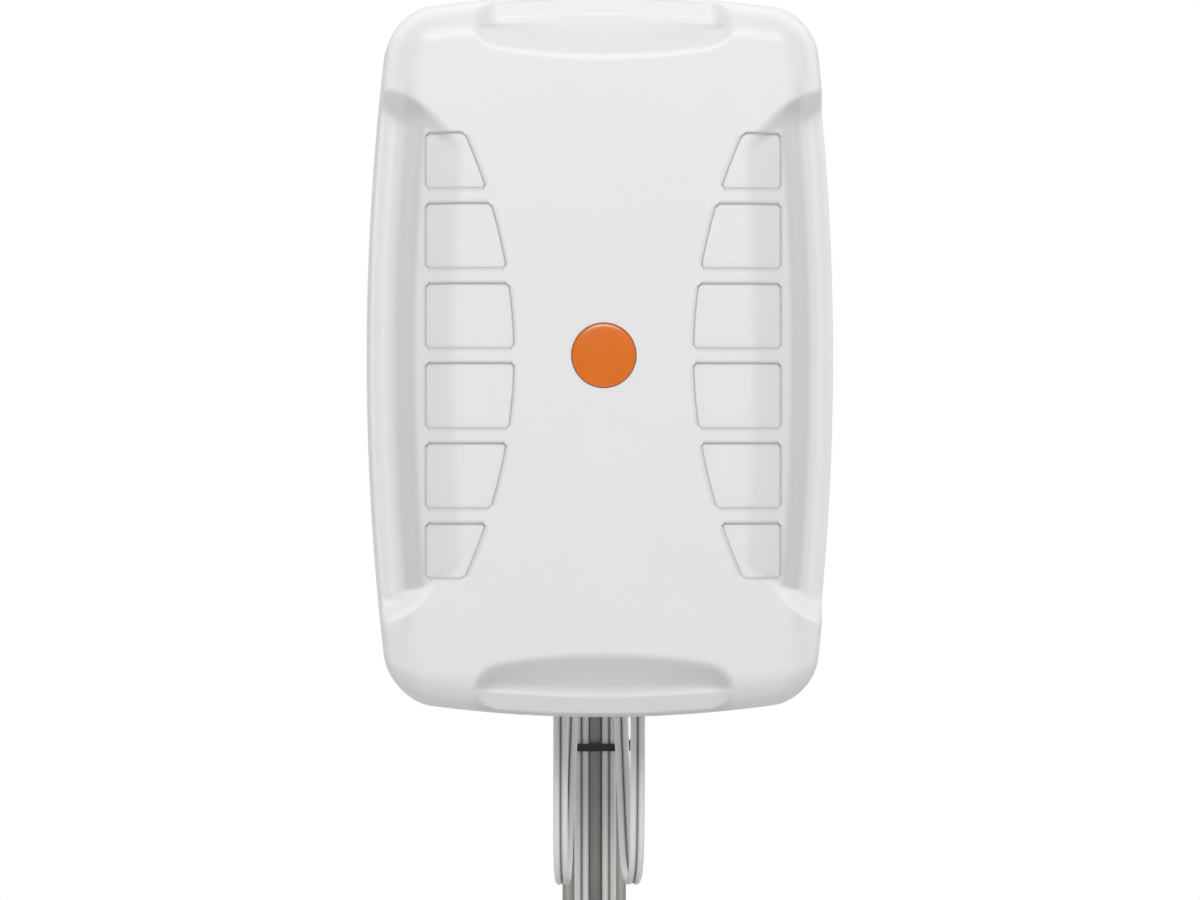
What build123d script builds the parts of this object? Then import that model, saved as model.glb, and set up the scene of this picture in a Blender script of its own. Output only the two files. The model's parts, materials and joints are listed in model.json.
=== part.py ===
from build123d import *
import math
import os

os.makedirs("parts", exist_ok=True)

# ---------------------------------------------------------------------------
# Frame: millimetres, +Z up, the antenna faces -Y. The origin is the centre of
# the mast's lower end, and the mast's axis is Z.
# ---------------------------------------------------------------------------

# Driving dimensions: radome and housing
RADOME_WIDTH = 281.0
RADOME_HEIGHT = 432.0
RADOME_BOTTOM = 450.0
RADOME_DEPTH = 72.0
CENTRE_Z = RADOME_BOTTOM + RADOME_HEIGHT / 2
SEAM_Y = -116.0
FACE_Y = SEAM_Y - RADOME_DEPTH
BACK_Y = -88.0
SIDE_BOW = 8.2
SIDE_BOW_SPAN = 160.0
END_BOW = 6.2
END_BOW_SPAN = 97.0
CORNER_RADIUS = 34.0
SHOULDER_RADIUS = 22.0
RADOME_WALL = 3.0
SKIRT_BACK = 10.0
POCKET_DEPTH = 1.5

# Driving dimensions: side scoops and end recesses of the radome
CREST_X = 87.6
SCOOP_FOOT_X = 124.5
SCOOP_DEPTH = 26.0
SCOOP_HALF_HEIGHT = 156.0
SCOOP_CHAMFER = 36.0
RECESS_HALF_WIDTH = 78.0
RECESS_START = 171.5
RECESS_ANGLE = 20.0
RECESS_LIP = 15.0

# Driving dimensions: badge
BADGE_RADIUS = 19.4
BADGE_GAP = 0.2
BADGE_SINK = 1.0
BADGE_PROUD = 1.6

# Driving dimensions: windows of each side, top to bottom
WINDOW_EDGES = [131.2, 97.7, 89.8, 50.8, 42.8, 3.8, -3.9, -43.2, -50.9, -90.1, -98.0, -131.2]
WINDOW_OUTER_X = 104.8
WINDOW_ARC_DEPTH = 29.4
WINDOW_ARC_HALF = 131.5
WINDOW_INNER_X = 52.2

# Driving dimensions: rear cover
FLANGE_INSET = 4.2
FLANGE_THICK = 4.0
TRAY_INSET = 16.0
TRAY_WALL = 3.0
SEAM_SCREW_INSET = 8.5

# Driving dimensions: mast, clamp and tilt bracket
MAST_RADIUS = 20.0
MAST_WALL = 2.0
MAST_TOP = CENTRE_Z + 84.0
SPIGOT_RADIUS = 17.75
SPIGOT_LENGTH = 40.0
SPIGOT_TAPER = 6.0
JAW_GAP = 0.25
PIVOT_Y = -50.0
PIVOT_Z = CENTRE_Z + 22.0
LOCK_REACH = 44.0
TILT_LIMIT = 10.0
CHEEK_X = 38.0
EAR_X = 41.3
STEEL = 3.0
WEB_Y = -33.0
CLAMP_BOLT_X = 27.0
CLAMP_BOLT_Z = 38.0
JAW_HEIGHT = 96.0
BOLT_RADIUS = 4.0

# Driving dimensions: cables
STRAND = 4.6
STRAND_PITCH = 4.3
TWIN_WIDTH = STRAND + STRAND_PITCH
RUN_X = 8.6
RUN_Y = -22.4
COLUMN_PITCH = 9.15
LAYER_PITCH = 4.75
COIL_LAYERS = 7
COIL_MEAN_RADIUS = 46.8
COIL_TOP = RADOME_BOTTOM - 128.0
LOOP_DROP = 104.3
GLAND_X = 23.4
GLAND_Y = -100.0
GLAND_END = RADOME_BOTTOM + 4.0
BOOT_TOP = COIL_TOP - 148.0
BOOT_LENGTH = 24.0
TAIL_SPACING = 5.2
TIE_Z = RADOME_BOTTOM - 25.1
TIE_WIDTH = 4.6
TIE_THICK = 1.3

COIL_BUILD = COIL_LAYERS * LAYER_PITCH
COIL_OUT = COIL_MEAN_RADIUS + COIL_BUILD / 2
COIL_IN = COIL_MEAN_RADIUS - COIL_BUILD / 2
COIL_Z = COIL_TOP - COIL_OUT
COIL_Y = RUN_Y - COIL_MEAN_RADIUS - (COIL_LAYERS - 1) * LAYER_PITCH / 2
COIL_X_IN = RUN_X - TWIN_WIDTH / 2 - 0.05
COIL_X_OUT = RUN_X + COLUMN_PITCH + TWIN_WIDTH / 2 + 0.05
SIDES = {"left": -1, "right": 1}


def save(name, *solids):
    """Write one node: one solid, or a group of separate solids."""
    shapes = []
    for solid in solids:
        shapes += solid.solids()
    whole = shapes[0] if len(shapes) == 1 else Compound(shapes)
    export_step(whole, f"parts/{name}.step")


def front_plane(y):
    """A plane across the antenna whose normal faces forward, -Y, centred on the radome."""
    return Plane(origin=(0, y, CENTRE_Z), x_dir=(1, 0, 0), z_dir=(0, -1, 0))


def outline(inset):
    """The housing's outline: four bowed edges and round corners, drawn inset from the radome's own."""
    half_x = RADOME_WIDTH / 2 - inset
    half_z = RADOME_HEIGHT / 2 - inset
    corner_x = half_x - SIDE_BOW * (half_z / SIDE_BOW_SPAN) ** 2
    corner_z = half_z - END_BOW * (corner_x / END_BOW_SPAN) ** 2
    edges = [
        ThreePointArc((-corner_x, corner_z), (0, half_z), (corner_x, corner_z)),
        ThreePointArc((corner_x, corner_z), (half_x, 0), (corner_x, -corner_z)),
        ThreePointArc((corner_x, -corner_z), (0, -half_z), (-corner_x, -corner_z)),
        ThreePointArc((-corner_x, -corner_z), (-half_x, 0), (-corner_x, corner_z)),
    ]
    face = make_face(edges)
    return fillet(face.vertices(), CORNER_RADIUS - inset * 0.6)


def slab(inset, y_back, depth):
    """The outline extruded forward from y_back."""
    return extrude(front_plane(y_back) * outline(inset), depth)


def rod(radius, start, end):
    """A round bar between two points."""
    start = Vector(*start)
    axis = Vector(*end) - start
    return extrude(Plane(origin=start, z_dir=axis) * Circle(radius), axis.length)


def hexagon(across_flats, start, end):
    """A hexagonal bar between two points."""
    start = Vector(*start)
    axis = Vector(*end) - start
    shape = RegularPolygon(across_flats / 2, 6, major_radius=False)
    return extrude(Plane(origin=start, z_dir=axis) * shape, axis.length)


def block(low, high):
    """A box between two corners."""
    size = [b - a for a, b in zip(low, high)]
    centre = [(a + b) / 2 for a, b in zip(low, high)]
    return Pos(*centre) * Box(*size)


# ---------------------------------------------------------------------------
# Radome
# ---------------------------------------------------------------------------

def scoop_cutter(side, inset):
    """What is taken off the radome's side: a curved wall down to a ledge, with slanting ends."""
    crest = CREST_X - inset
    foot = SCOOP_FOOT_X - inset
    face = RADOME_DEPTH + 1.0
    ledge = RADOME_DEPTH - SCOOP_DEPTH - inset
    wall = Spline(
        (crest, RADOME_DEPTH - inset),
        ((crest + foot) / 2, RADOME_DEPTH - inset - SCOOP_DEPTH * 0.38),
        (foot, ledge),
        tangents=[(1, -0.15), (1, -0.2)],
    )
    profile = make_face([
        wall,
        Polyline((foot, ledge), (160, ledge), (160, face), (crest, face), (crest, RADOME_DEPTH - inset)),
    ])
    section = Plane(origin=(0, SEAM_Y, CENTRE_Z), x_dir=(1, 0, 0), z_dir=(0, 0, 1)) * mirror(profile, Plane.XZ)
    bar = extrude(section, 200, both=True)
    top = SCOOP_HALF_HEIGHT + inset
    low = top - SCOOP_CHAMFER
    limits = Polyline(
        (crest - 1, -low), (foot, -top), (170, -top), (170, top), (foot, top), (crest - 1, low),
        close=True,
    )
    window = extrude(front_plane(SEAM_Y) * make_face(limits), RADOME_DEPTH + 2)
    cutter = bar & window
    return cutter if side > 0 else mirror(cutter, Plane.YZ)


def recess_cutter(end, inset):
    """What is taken off the radome's top or bottom: a sloping slab with round ends."""
    slot = SlotOverall(2 * (RECESS_HALF_WIDTH + inset), 90.0)
    tilted = Plane(
        origin=(0, FACE_Y + inset, CENTRE_Z + end * (RECESS_START - inset * 0.5)),
        x_dir=(1, 0, 0),
        z_dir=(0, -math.cos(math.radians(RECESS_ANGLE)), end * math.sin(math.radians(RECESS_ANGLE))),
    )
    cutter = extrude(tilted * Pos(0, end * 45.0) * slot, 40)
    limit = block(
        (-100, FACE_Y - 5, CENTRE_Z + RECESS_START - 5),
        (100, SEAM_Y, CENTRE_Z + RADOME_HEIGHT / 2 - RECESS_LIP),
    )
    if end < 0:
        limit = mirror(limit, Plane.XY.offset(CENTRE_Z))
    return cutter & limit


def dome(inset):
    """The radome's outer form, or its inner form when inset by the wall."""
    body = slab(inset, SEAM_Y + SKIRT_BACK, RADOME_DEPTH + SKIRT_BACK - inset)
    front_edges = body.faces().sort_by(Axis.Y)[0].edges()
    body = fillet(front_edges, SHOULDER_RADIUS - inset)
    for side in SIDES.values():
        body -= scoop_cutter(side, inset)
    for end in (1, -1):
        body -= recess_cutter(end, inset)
    return body


def window_arc_x(height):
    """How far from the middle a window's inner edge is at a height: the windows narrow along an arc."""
    return WINDOW_INNER_X + WINDOW_ARC_DEPTH * (height / WINDOW_ARC_HALF) ** 2


def windows(side):
    """The six shallow window prisms of one side."""
    prisms = []
    for top, bottom in zip(WINDOW_EDGES[0::2], WINDOW_EDGES[1::2]):
        middle = (top + bottom) / 2
        edges = [
            Polyline((window_arc_x(top), top), (WINDOW_OUTER_X, top), (WINDOW_OUTER_X, bottom),
                     (window_arc_x(bottom), bottom)),
            ThreePointArc((window_arc_x(bottom), bottom), (window_arc_x(middle), middle), (window_arc_x(top), top)),
        ]
        face = make_face(edges)
        face = fillet(face.vertices(), 2.0)
        prism = extrude(front_plane(SEAM_Y) * face, RADOME_DEPTH + 5)
        prisms.append(prism if side > 0 else mirror(prism, Plane.YZ))
    return prisms


def seam_screw_places():
    """The twelve screws round the seam: x and z, just inside the edge."""
    half_x = RADOME_WIDTH / 2 - SEAM_SCREW_INSET
    half_z = RADOME_HEIGHT / 2 - SEAM_SCREW_INSET
    places = []
    for side in (-1, 1):
        for height in (-150.0, -50.0, 50.0, 150.0):
            places.append((side * (half_x - SIDE_BOW * (height / SIDE_BOW_SPAN) ** 2), CENTRE_Z + height))
        for end in (-1, 1):
            places.append((side * 62.0, CENTRE_Z + end * (half_z - END_BOW * (62.0 / END_BOW_SPAN) ** 2)))
    return places


def build_radome():
    """The moulded front cover, its shallow windows and the screw bosses inside it."""
    outer = dome(0.0)
    inner = dome(RADOME_WALL)
    skin = outer - Pos(0, POCKET_DEPTH, 0) * outer
    radome = outer - inner
    for x, z in seam_screw_places():
        radome += rod(6.0, (x, SEAM_Y, z), (x, SEAM_Y - 18, z)) & outer
    for x, z in seam_screw_places():
        radome -= rod(1.6, (x, SEAM_Y + 1, z), (x, SEAM_Y - 15, z))
    for side in SIDES.values():
        for prism in windows(side):
            radome -= skin & prism
    radome -= rod(BADGE_RADIUS + BADGE_GAP, (0, FACE_Y - 1, CENTRE_Z), (0, FACE_Y + BADGE_SINK, CENTRE_Z))
    save("front_radome", radome)
    disc = rod(BADGE_RADIUS, (0, FACE_Y + BADGE_SINK, CENTRE_Z), (0, FACE_Y - BADGE_PROUD, CENTRE_Z))
    disc = fillet(disc.edges().sort_by(Axis.Y)[0], 1.4)
    save("badge_disc", disc)


# ---------------------------------------------------------------------------
# Rear cover and what closes the housing
# ---------------------------------------------------------------------------

BRACKET_SCREWS = [(x, CENTRE_Z + z) for x in (-30.0, 30.0) for z in (-32.0, 32.0)]
STANDOFFS = [(x, CENTRE_Z + z) for x in (-80.0, 80.0) for z in (-150.0, 0.0, 150.0)]


def build_rear_cover():
    """The tray behind the antenna, its seal, screws, inserts and drain vent."""
    flange = slab(FLANGE_INSET, SEAM_Y + FLANGE_THICK, FLANGE_THICK)
    tray = slab(TRAY_INSET, BACK_Y, BACK_Y - SEAM_Y)
    tray = fillet(tray.faces().sort_by(Axis.Y)[-1].edges(), 8.0)
    hollow = slab(TRAY_INSET + TRAY_WALL, BACK_Y - TRAY_WALL, BACK_Y - SEAM_Y)
    cover = flange + tray - hollow
    for x, z in BRACKET_SCREWS:
        cover += rod(7.0, (x, BACK_Y - 1, z), (x, BACK_Y - 14, z))
        cover -= rod(4.0, (x, BACK_Y + 1, z), (x, BACK_Y - 12, z))
    for x, z in STANDOFFS:
        cover += rod(6.0, (x, BACK_Y - 1, z), (x, BACK_Y - 10, z))
        cover -= rod(2.0, (x, BACK_Y - 4, z), (x, BACK_Y - 12, z))
    for x, z in seam_screw_places():
        cover -= rod(1.9, (x, SEAM_Y - 1, z), (x, SEAM_Y + 6, z))
    for side in SIDES.values():
        x = side * GLAND_X
        cover -= gland_bar(x, 14.0, 9.6, RADOME_BOTTOM + TRAY_INSET - 2, 16)
    cover -= rod(4.0, (0, GLAND_Y, RADOME_BOTTOM), (0, GLAND_Y, RADOME_BOTTOM + 30))
    save("rear_cover", cover)

    seal = slab(RADOME_WALL + 0.1, SEAM_Y + 3.5, 3.0) - slab(FLANGE_INSET - 0.05, SEAM_Y + 4.5, 5.0)
    save("perimeter_seal", seal)

    screws = []
    for x, z in seam_screw_places():
        shank = rod(1.55, (x, SEAM_Y + FLANGE_THICK, z), (x, SEAM_Y - 13, z))
        head = rod(3.2, (x, SEAM_Y + FLANGE_THICK, z), (x, SEAM_Y + FLANGE_THICK + 2.4, z))
        screws.append(shank + head - rod(1.2, (x, SEAM_Y + 5.2, z), (x, SEAM_Y + 7, z)))
    save("cover_screws", *screws)

    inserts = []
    for x, z in BRACKET_SCREWS:
        ring = rod(3.95, (x, BACK_Y, z), (x, BACK_Y - 11, z)) - rod(3.0, (x, BACK_Y + 1, z), (x, BACK_Y - 12, z))
        inserts.append(ring)
    save("threaded_inserts", *inserts)

    wall = RADOME_BOTTOM + TRAY_INSET
    vent = rod(3.95, (0, GLAND_Y, wall), (0, GLAND_Y, wall + 5)) + rod(6.0, (0, GLAND_Y, wall - 2.5), (0, GLAND_Y, wall))
    save("drain_vent", vent)


def gland_bar(x, width, depth, bottom, length):
    """An oval bar standing on Z at a cable exit."""
    place = Plane(origin=(x, GLAND_Y, bottom), x_dir=(1, 0, 0), z_dir=(0, 0, 1))
    return extrude(place * SlotOverall(width, depth), length)


def build_glands():
    """The oval strain relief of each twin cable and the plate that locks it inside the tray."""
    wall = RADOME_BOTTOM + TRAY_INSET
    plates = []
    for name, side in SIDES.items():
        x = side * GLAND_X
        top = Plane(origin=(x, GLAND_Y, wall), x_dir=(1, 0, 0), z_dir=(0, 0, 1))
        end = Plane(origin=(x, GLAND_Y, GLAND_END), x_dir=(1, 0, 0), z_dir=(0, 0, 1))
        taper = loft([end * SlotOverall(11.4, 7.0), top * SlotOverall(15.0, 10.4)])
        spigot = gland_bar(x, 13.8, 9.4, wall, 7.0)
        save(f"{name}_cable_gland", taper + spigot)
        plate = gland_bar(x, 19.0, 14.6, wall + TRAY_WALL + 1.0, 2.5) - gland_bar(x, 13.9, 9.5, wall, 10)
        plates.append(plate)
    save("gland_lock_plates", *plates)


# ---------------------------------------------------------------------------
# What the housing holds: reflector, crossed arrays and their leads
# ---------------------------------------------------------------------------

REFLECTOR_Y = -121.5
REFLECTOR_THICK = 1.5
REFLECTOR_INSET = 17.0
BOARD_LENGTH = 56.0
BOARD_HALF = 50.0
BOARD_THICK = 1.6
COPPER_THICK = 0.3
ARRAY_OFFSET = 100.0
ARRAYS = {"upper": 1, "lower": -1}
# Each element: its distance from the reflector and the reach of one arm, in millimetres
ELEMENTS = [(9.0, 46.0), (20.0, 38.0), (30.0, 31.0), (39.0, 25.0), (47.0, 20.0)]


def array_place(end, turn):
    """The plane of one board: local X along the board, local Y forward, seated on the reflector."""
    angle = math.radians(turn)
    across = (math.cos(angle), 0, math.sin(angle))
    return Plane(
        origin=(0, REFLECTOR_Y, CENTRE_Z + end * ARRAY_OFFSET),
        x_dir=across,
        z_dir=Vector(*across).cross(Vector(0, -1, 0)),
    )


def build_boards():
    """Two pairs of crossed printed arrays, slotted into one another, with their copper and clips."""
    clips = []
    for pair, end in ARRAYS.items():
        copper = []
        for name, turn in (("plus45", 45.0), ("minus45", -45.0)):
            place = array_place(end, turn)
            shape = Polyline(
                (-BOARD_HALF, 0.1), (BOARD_HALF, 0.1), (BOARD_HALF, 16), (24, BOARD_LENGTH), (-24, BOARD_LENGTH),
                (-BOARD_HALF, 16), close=True,
            )
            board = extrude(place * make_face(shape), BOARD_THICK / 2, both=True)
            slot_low, slot_high = (0.0, 28.2) if turn > 0 else (27.8, BOARD_LENGTH + 1)
            slot = Polyline((-0.9, slot_low), (0.9, slot_low), (0.9, slot_high), (-0.9, slot_high), close=True)
            board -= extrude(place * make_face(slot), 2, both=True)
            save(f"{pair}_{name}_board", board)
            face = place.offset(BOARD_THICK / 2)
            for reach_out, reach in ELEMENTS:
                for arm in (-1, 1):
                    strip = Pos(arm * (reach + 4.0) / 2, reach_out) * Rectangle(reach - 4.0, 3.0)
                    copper.append(extrude(face * strip, COPPER_THICK))
            back = place.offset(-BOARD_THICK / 2)
            for arm in (-1, 1):
                foot = extrude(back * Pos(arm * 34.0, 1.1) * Rectangle(12.0, 2.0), -9.0)
                upright = extrude(back * Pos(arm * 34.0, 7.1) * Rectangle(12.0, 10.0), -2.0)
                clips.append(foot + upright)
        save(f"{pair}_array_copper", *copper)
    save("board_clips", *clips)


def build_reflector():
    """The flat reflector, its standoffs and screws."""
    plate = slab(REFLECTOR_INSET, REFLECTOR_Y + REFLECTOR_THICK, REFLECTOR_THICK)
    standoffs = []
    screws = []
    for x, z in STANDOFFS:
        plate -= rod(2.2, (x, REFLECTOR_Y - 2, z), (x, REFLECTOR_Y + 4, z))
        post = hexagon(8.0, (x, BACK_Y - 10, z), (x, REFLECTOR_Y + REFLECTOR_THICK, z))
        post += rod(1.95, (x, BACK_Y - 5, z), (x, BACK_Y - 11, z))
        post -= rod(1.6, (x, REFLECTOR_Y, z), (x, REFLECTOR_Y + 12, z))
        standoffs.append(post)
        shank = rod(1.55, (x, REFLECTOR_Y, z), (x, REFLECTOR_Y + 9, z))
        screws.append(shank + rod(3.4, (x, REFLECTOR_Y - 2.2, z), (x, REFLECTOR_Y, z)))
    for pair, end in ARRAYS.items():
        for arm in (-1, 1):
            hole_z = CENTRE_Z + end * ARRAY_OFFSET - 10.0
            plate -= rod(2.4, (arm * 20.0, REFLECTOR_Y - 2, hole_z), (arm * 20.0, REFLECTOR_Y + 4, hole_z))
    save("reflector_plate", plate)
    save("reflector_standoffs", *standoffs)
    save("reflector_screws", *screws)


def tube(points, radius):
    """A round cord along straight runs joined by tangent arcs, each as large as its runs allow."""
    path = rounded_path(points)
    return sweep(Plane(origin=path @ 0, z_dir=path % 0) * Circle(radius), path=path)


def rounded_path(points):
    """A polyline whose corners are arcs of 0.45 of the shorter run over the tangent of half the turn."""
    radii = []
    for before, corner, after in zip(points, points[1:], points[2:]):
        run_in = Vector(*corner) - Vector(*before)
        run_out = Vector(*after) - Vector(*corner)
        turn = math.radians(run_in.get_angle(run_out))
        radii.append(0.45 * min(run_in.length, run_out.length) / math.tan(turn / 2))
    print("  radii", [round(radius, 1) for radius in radii])
    return FilletPolyline(*points, radius=radii)


def pigtail_route(pair, side):
    """One thin lead: from its board through the reflector, then down inside the tray to its gland."""
    wall_top = RADOME_BOTTOM + TRAY_INSET + 7.0
    if pair == "upper":
        start = CENTRE_Z + ARRAY_OFFSET - 10.0
        points = [
            (20.0, REFLECTOR_Y - 3.0, start),
            (20.0, -107.5, start),
            (30.0, -101.5, start - 24.0),
            (57.0, -100.5, start - 52.0),
            (59.5, -101.5, start - 96.0),
            (57.0, -100.5, start - 146.0),
            (58.5, -101.2, start - 190.0),
            (54.0, -100.6, RADOME_BOTTOM + 74.0),
            (GLAND_X + 2.3, GLAND_Y, RADOME_BOTTOM + 46.0),
            (GLAND_X + 2.3, GLAND_Y, wall_top),
        ]
    else:
        start = CENTRE_Z - ARRAY_OFFSET - 10.0
        points = [
            (20.0, REFLECTOR_Y - 3.0, start),
            (20.0, -112.0, start),
            (24.0, -104.0, start - 15.0),
            (24.5, -101.0, start - 38.0),
            (GLAND_X - 2.3, GLAND_Y, RADOME_BOTTOM + 48.0),
            (GLAND_X - 2.3, GLAND_Y, wall_top),
        ]
    return [(side * x, y, z) for x, y, z in points]


def build_pigtails():
    """The thin coaxial leads between the boards and the glands, one group for each pair of boards."""
    for pair in ARRAYS:
        save(f"{pair}_pigtails", *[tube(pigtail_route(pair, side), 1.1) for side in SIDES.values()])


# ---------------------------------------------------------------------------
# Tilt bracket on the antenna, and the pole bracket
# ---------------------------------------------------------------------------

LOCK_Z = PIVOT_Z - LOCK_REACH


def side_plane(x):
    """A plane facing +X, with local X along +Y and local Y along +Z."""
    return Plane(origin=(x, 0, 0), x_dir=(0, 1, 0), z_dir=(1, 0, 0))


def build_antenna_bracket():
    """The folded yoke screwed to the rear cover, with its screws and washers."""
    edge = EAR_X + STEEL
    plate = block((-edge, BACK_Y, CENTRE_Z - 45), (edge, BACK_Y + STEEL, CENTRE_Z + 45))
    ear = Polyline(
        (BACK_Y, CENTRE_Z - 45), (PIVOT_Y - 4, CENTRE_Z - 38), (PIVOT_Y + 10, LOCK_Z - 9), (PIVOT_Y + 10, PIVOT_Z + 9),
        (PIVOT_Y - 4, CENTRE_Z + 40), (BACK_Y, CENTRE_Z + 45), close=True,
    )
    ears = []
    for x in (-edge, EAR_X):
        ears.append(extrude(side_plane(x) * make_face(ear), STEEL))
    yoke = plate + ears[0] + ears[1]
    for z in (PIVOT_Z, LOCK_Z):
        yoke -= rod(BOLT_RADIUS + 0.05, (-60, PIVOT_Y, z), (60, PIVOT_Y, z))
    screws = []
    washers = []
    for x, z in BRACKET_SCREWS:
        yoke -= rod(3.3, (x, BACK_Y - 1, z), (x, BACK_Y + 5, z))
        seat = BACK_Y + STEEL
        washers.append(rod(6.0, (x, seat, z), (x, seat + 1.2, z)) - rod(3.1, (x, seat - 1, z), (x, seat + 2, z)))
        head = rod(5.2, (x, seat + 1.2, z), (x, seat + 4.6, z))
        head = fillet(head.edges().sort_by(Axis.Y)[-1], 1.8)
        head -= hexagon(4.0, (x, seat + 2.6, z), (x, seat + 6, z))
        screws.append(head + rod(2.95, (x, seat + 1.2, z), (x, BACK_Y - 10, z)))
    save("antenna_bracket", yoke)
    save("bracket_screws", *screws)
    save("bracket_washers", *washers)

    bolts = []
    nuts = []
    rings = []
    outer = EAR_X + STEEL
    for side in (-1, 1):
        for z in (PIVOT_Z, LOCK_Z):
            shank = rod(BOLT_RADIUS, (side * 27.0, PIVOT_Y, z), (side * (outer + 1.6), PIVOT_Y, z))
            head = hexagon(13.0, (side * (outer + 1.6), PIVOT_Y, z), (side * (outer + 6.9), PIVOT_Y, z))
            bolts.append(shank + head)
            nut = hexagon(13.0, (side * (CHEEK_X - 8.2), PIVOT_Y, z), (side * (CHEEK_X - 1.7), PIVOT_Y, z))
            nuts.append(nut - rod(BOLT_RADIUS + 0.05, (side * 20, PIVOT_Y, z), (side * 50, PIVOT_Y, z)))
            for start in (CHEEK_X - 1.7, outer):
                ring = rod(8.0, (side * start, PIVOT_Y, z), (side * (start + 1.6), PIVOT_Y, z))
                rings.append(ring - rod(BOLT_RADIUS + 0.1, (side * 20, PIVOT_Y, z), (side * 50, PIVOT_Y, z)))
    save("tilt_bolts", *bolts)
    save("tilt_nuts", *nuts)
    save("tilt_washers", *rings)


def build_pole_bracket():
    """The folded channel on the mast side: pivot holes and arc slots in its cheeks."""
    edge = CHEEK_X + STEEL
    web = block((-edge, WEB_Y, CENTRE_Z - 50), (edge, WEB_Y + STEEL, CENTRE_Z + 50))
    front = PIVOT_Y - 16.0
    cheek = Polyline(
        (WEB_Y + STEEL, CENTRE_Z - 50), (PIVOT_Y + 2, CENTRE_Z - 46), (front - 2, LOCK_Z - 8), (front - 2, LOCK_Z + 10),
        (PIVOT_Y - 12, PIVOT_Z + 2), (PIVOT_Y - 4, PIVOT_Z + 12), (WEB_Y + STEEL, CENTRE_Z + 50), close=True,
    )
    slot_end = math.radians(TILT_LIMIT + 0.6)
    arc_x = LOCK_REACH * math.sin(slot_end)
    arc_z = PIVOT_Z - LOCK_REACH * math.cos(slot_end)
    arc = ThreePointArc((PIVOT_Y - arc_x, arc_z), (PIVOT_Y, LOCK_Z), (PIVOT_Y + arc_x, arc_z))
    bracket = web
    for x in (-edge, CHEEK_X):
        bracket += extrude(side_plane(x) * make_face(cheek), STEEL)
    slot = SlotArc(arc=arc, height=2 * (BOLT_RADIUS + 0.15))
    bracket -= extrude(side_plane(-60) * slot, 120)
    bracket -= rod(BOLT_RADIUS + 0.05, (-60, PIVOT_Y, PIVOT_Z), (60, PIVOT_Y, PIVOT_Z))
    for x, z in clamp_bolt_places():
        bracket -= rod(BOLT_RADIUS + 0.3, (x, WEB_Y - 5, z), (x, WEB_Y + 5, z))
    save("pole_bracket", bracket)


def clamp_bolt_places():
    """The four clamp bolts: x and z."""
    return [(x, CENTRE_Z + z) for x in (-CLAMP_BOLT_X, CLAMP_BOLT_X) for z in (-CLAMP_BOLT_Z, CLAMP_BOLT_Z)]


def jaw(sign):
    """A clamp jaw with a V notch for the mast: sign -1 in front of the mast, +1 behind it."""
    apex = (MAST_RADIUS + JAW_GAP) / math.sin(math.radians(60))
    lip = 18.5
    lip_y = apex - lip / math.tan(math.radians(60))
    back = abs(WEB_Y + STEEL)
    profile = Polyline(
        (-35, back), (35, back), (35, back - 10), (lip + 4, lip_y), (lip, lip_y), (0, apex), (-lip, lip_y),
        (-lip - 4, lip_y), (-35, back - 10), close=True,
    )
    face = make_face(profile)
    face = face if sign > 0 else mirror(face, Plane.XZ)
    base = Plane(origin=(0, 0, CENTRE_Z - JAW_HEIGHT / 2), x_dir=(1, 0, 0), z_dir=(0, 0, 1))
    body = extrude(base * face, JAW_HEIGHT)
    waist = block((-40, 1, CENTRE_Z - 20), (40, back - 5, CENTRE_Z + 20))
    body -= waist if sign > 0 else mirror(waist, Plane.XZ)
    for x, z in clamp_bolt_places():
        body -= rod(BOLT_RADIUS + 0.4, (x, -60, z), (x, 60, z))
    return body


def build_clamp():
    """The two jaws with the long bolts, nuts and washers that close them on the mast."""
    save("fixed_jaw", jaw(-1))
    save("rear_jaw", jaw(1))
    bolts = []
    nuts = []
    washers = []
    seat = abs(WEB_Y + STEEL)
    for x, z in clamp_bolt_places():
        head = hexagon(13.0, (x, WEB_Y, z), (x, WEB_Y - 5.3, z))
        bolts.append(head + rod(BOLT_RADIUS, (x, WEB_Y, z), (x, 54.0, z)))
        washers.append(rod(8.0, (x, seat, z), (x, seat + 1.6, z)) - rod(BOLT_RADIUS + 0.3, (x, 0, z), (x, 60, z)))
        nut = hexagon(13.0, (x, seat + 1.6, z), (x, seat + 8.1, z))
        nuts.append(nut - rod(BOLT_RADIUS + 0.06, (x, 0, z), (x, 60, z)))
    save("clamp_bolts", *bolts)
    save("clamp_nuts", *nuts)
    save("clamp_washers", *washers)


def mast_form(inset, overrun):
    """A mast section: a swaged spigot, a short taper and the full tube."""
    shoulder = SPIGOT_LENGTH + SPIGOT_TAPER
    form = rod(SPIGOT_RADIUS - inset, (0, 0, -overrun), (0, 0, SPIGOT_LENGTH))
    form += Pos(0, 0, SPIGOT_LENGTH + SPIGOT_TAPER / 2) * Cone(SPIGOT_RADIUS - inset, MAST_RADIUS - inset, SPIGOT_TAPER)
    return form + rod(MAST_RADIUS - inset, (0, 0, shoulder), (0, 0, MAST_TOP + overrun))


def build_mast():
    """The section of mast that the antenna stands on, with a spigot for the section below, and its top cap."""
    save("mast_tube", mast_form(0, 0) - mast_form(MAST_WALL, 1))
    cap = rod(MAST_RADIUS + 0.4, (0, 0, MAST_TOP), (0, 0, MAST_TOP + 3.5))
    cap = fillet(cap.edges().sort_by(Axis.Z)[-1], 2.0)
    cap += rod(MAST_RADIUS - MAST_WALL - 0.1, (0, 0, MAST_TOP - 14), (0, 0, MAST_TOP))
    cap -= rod(MAST_RADIUS - MAST_WALL - 2.0, (0, 0, MAST_TOP - 15), (0, 0, MAST_TOP - 1))
    save("mast_top_cap", cap)


# ---------------------------------------------------------------------------
# Cables
# ---------------------------------------------------------------------------

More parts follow.
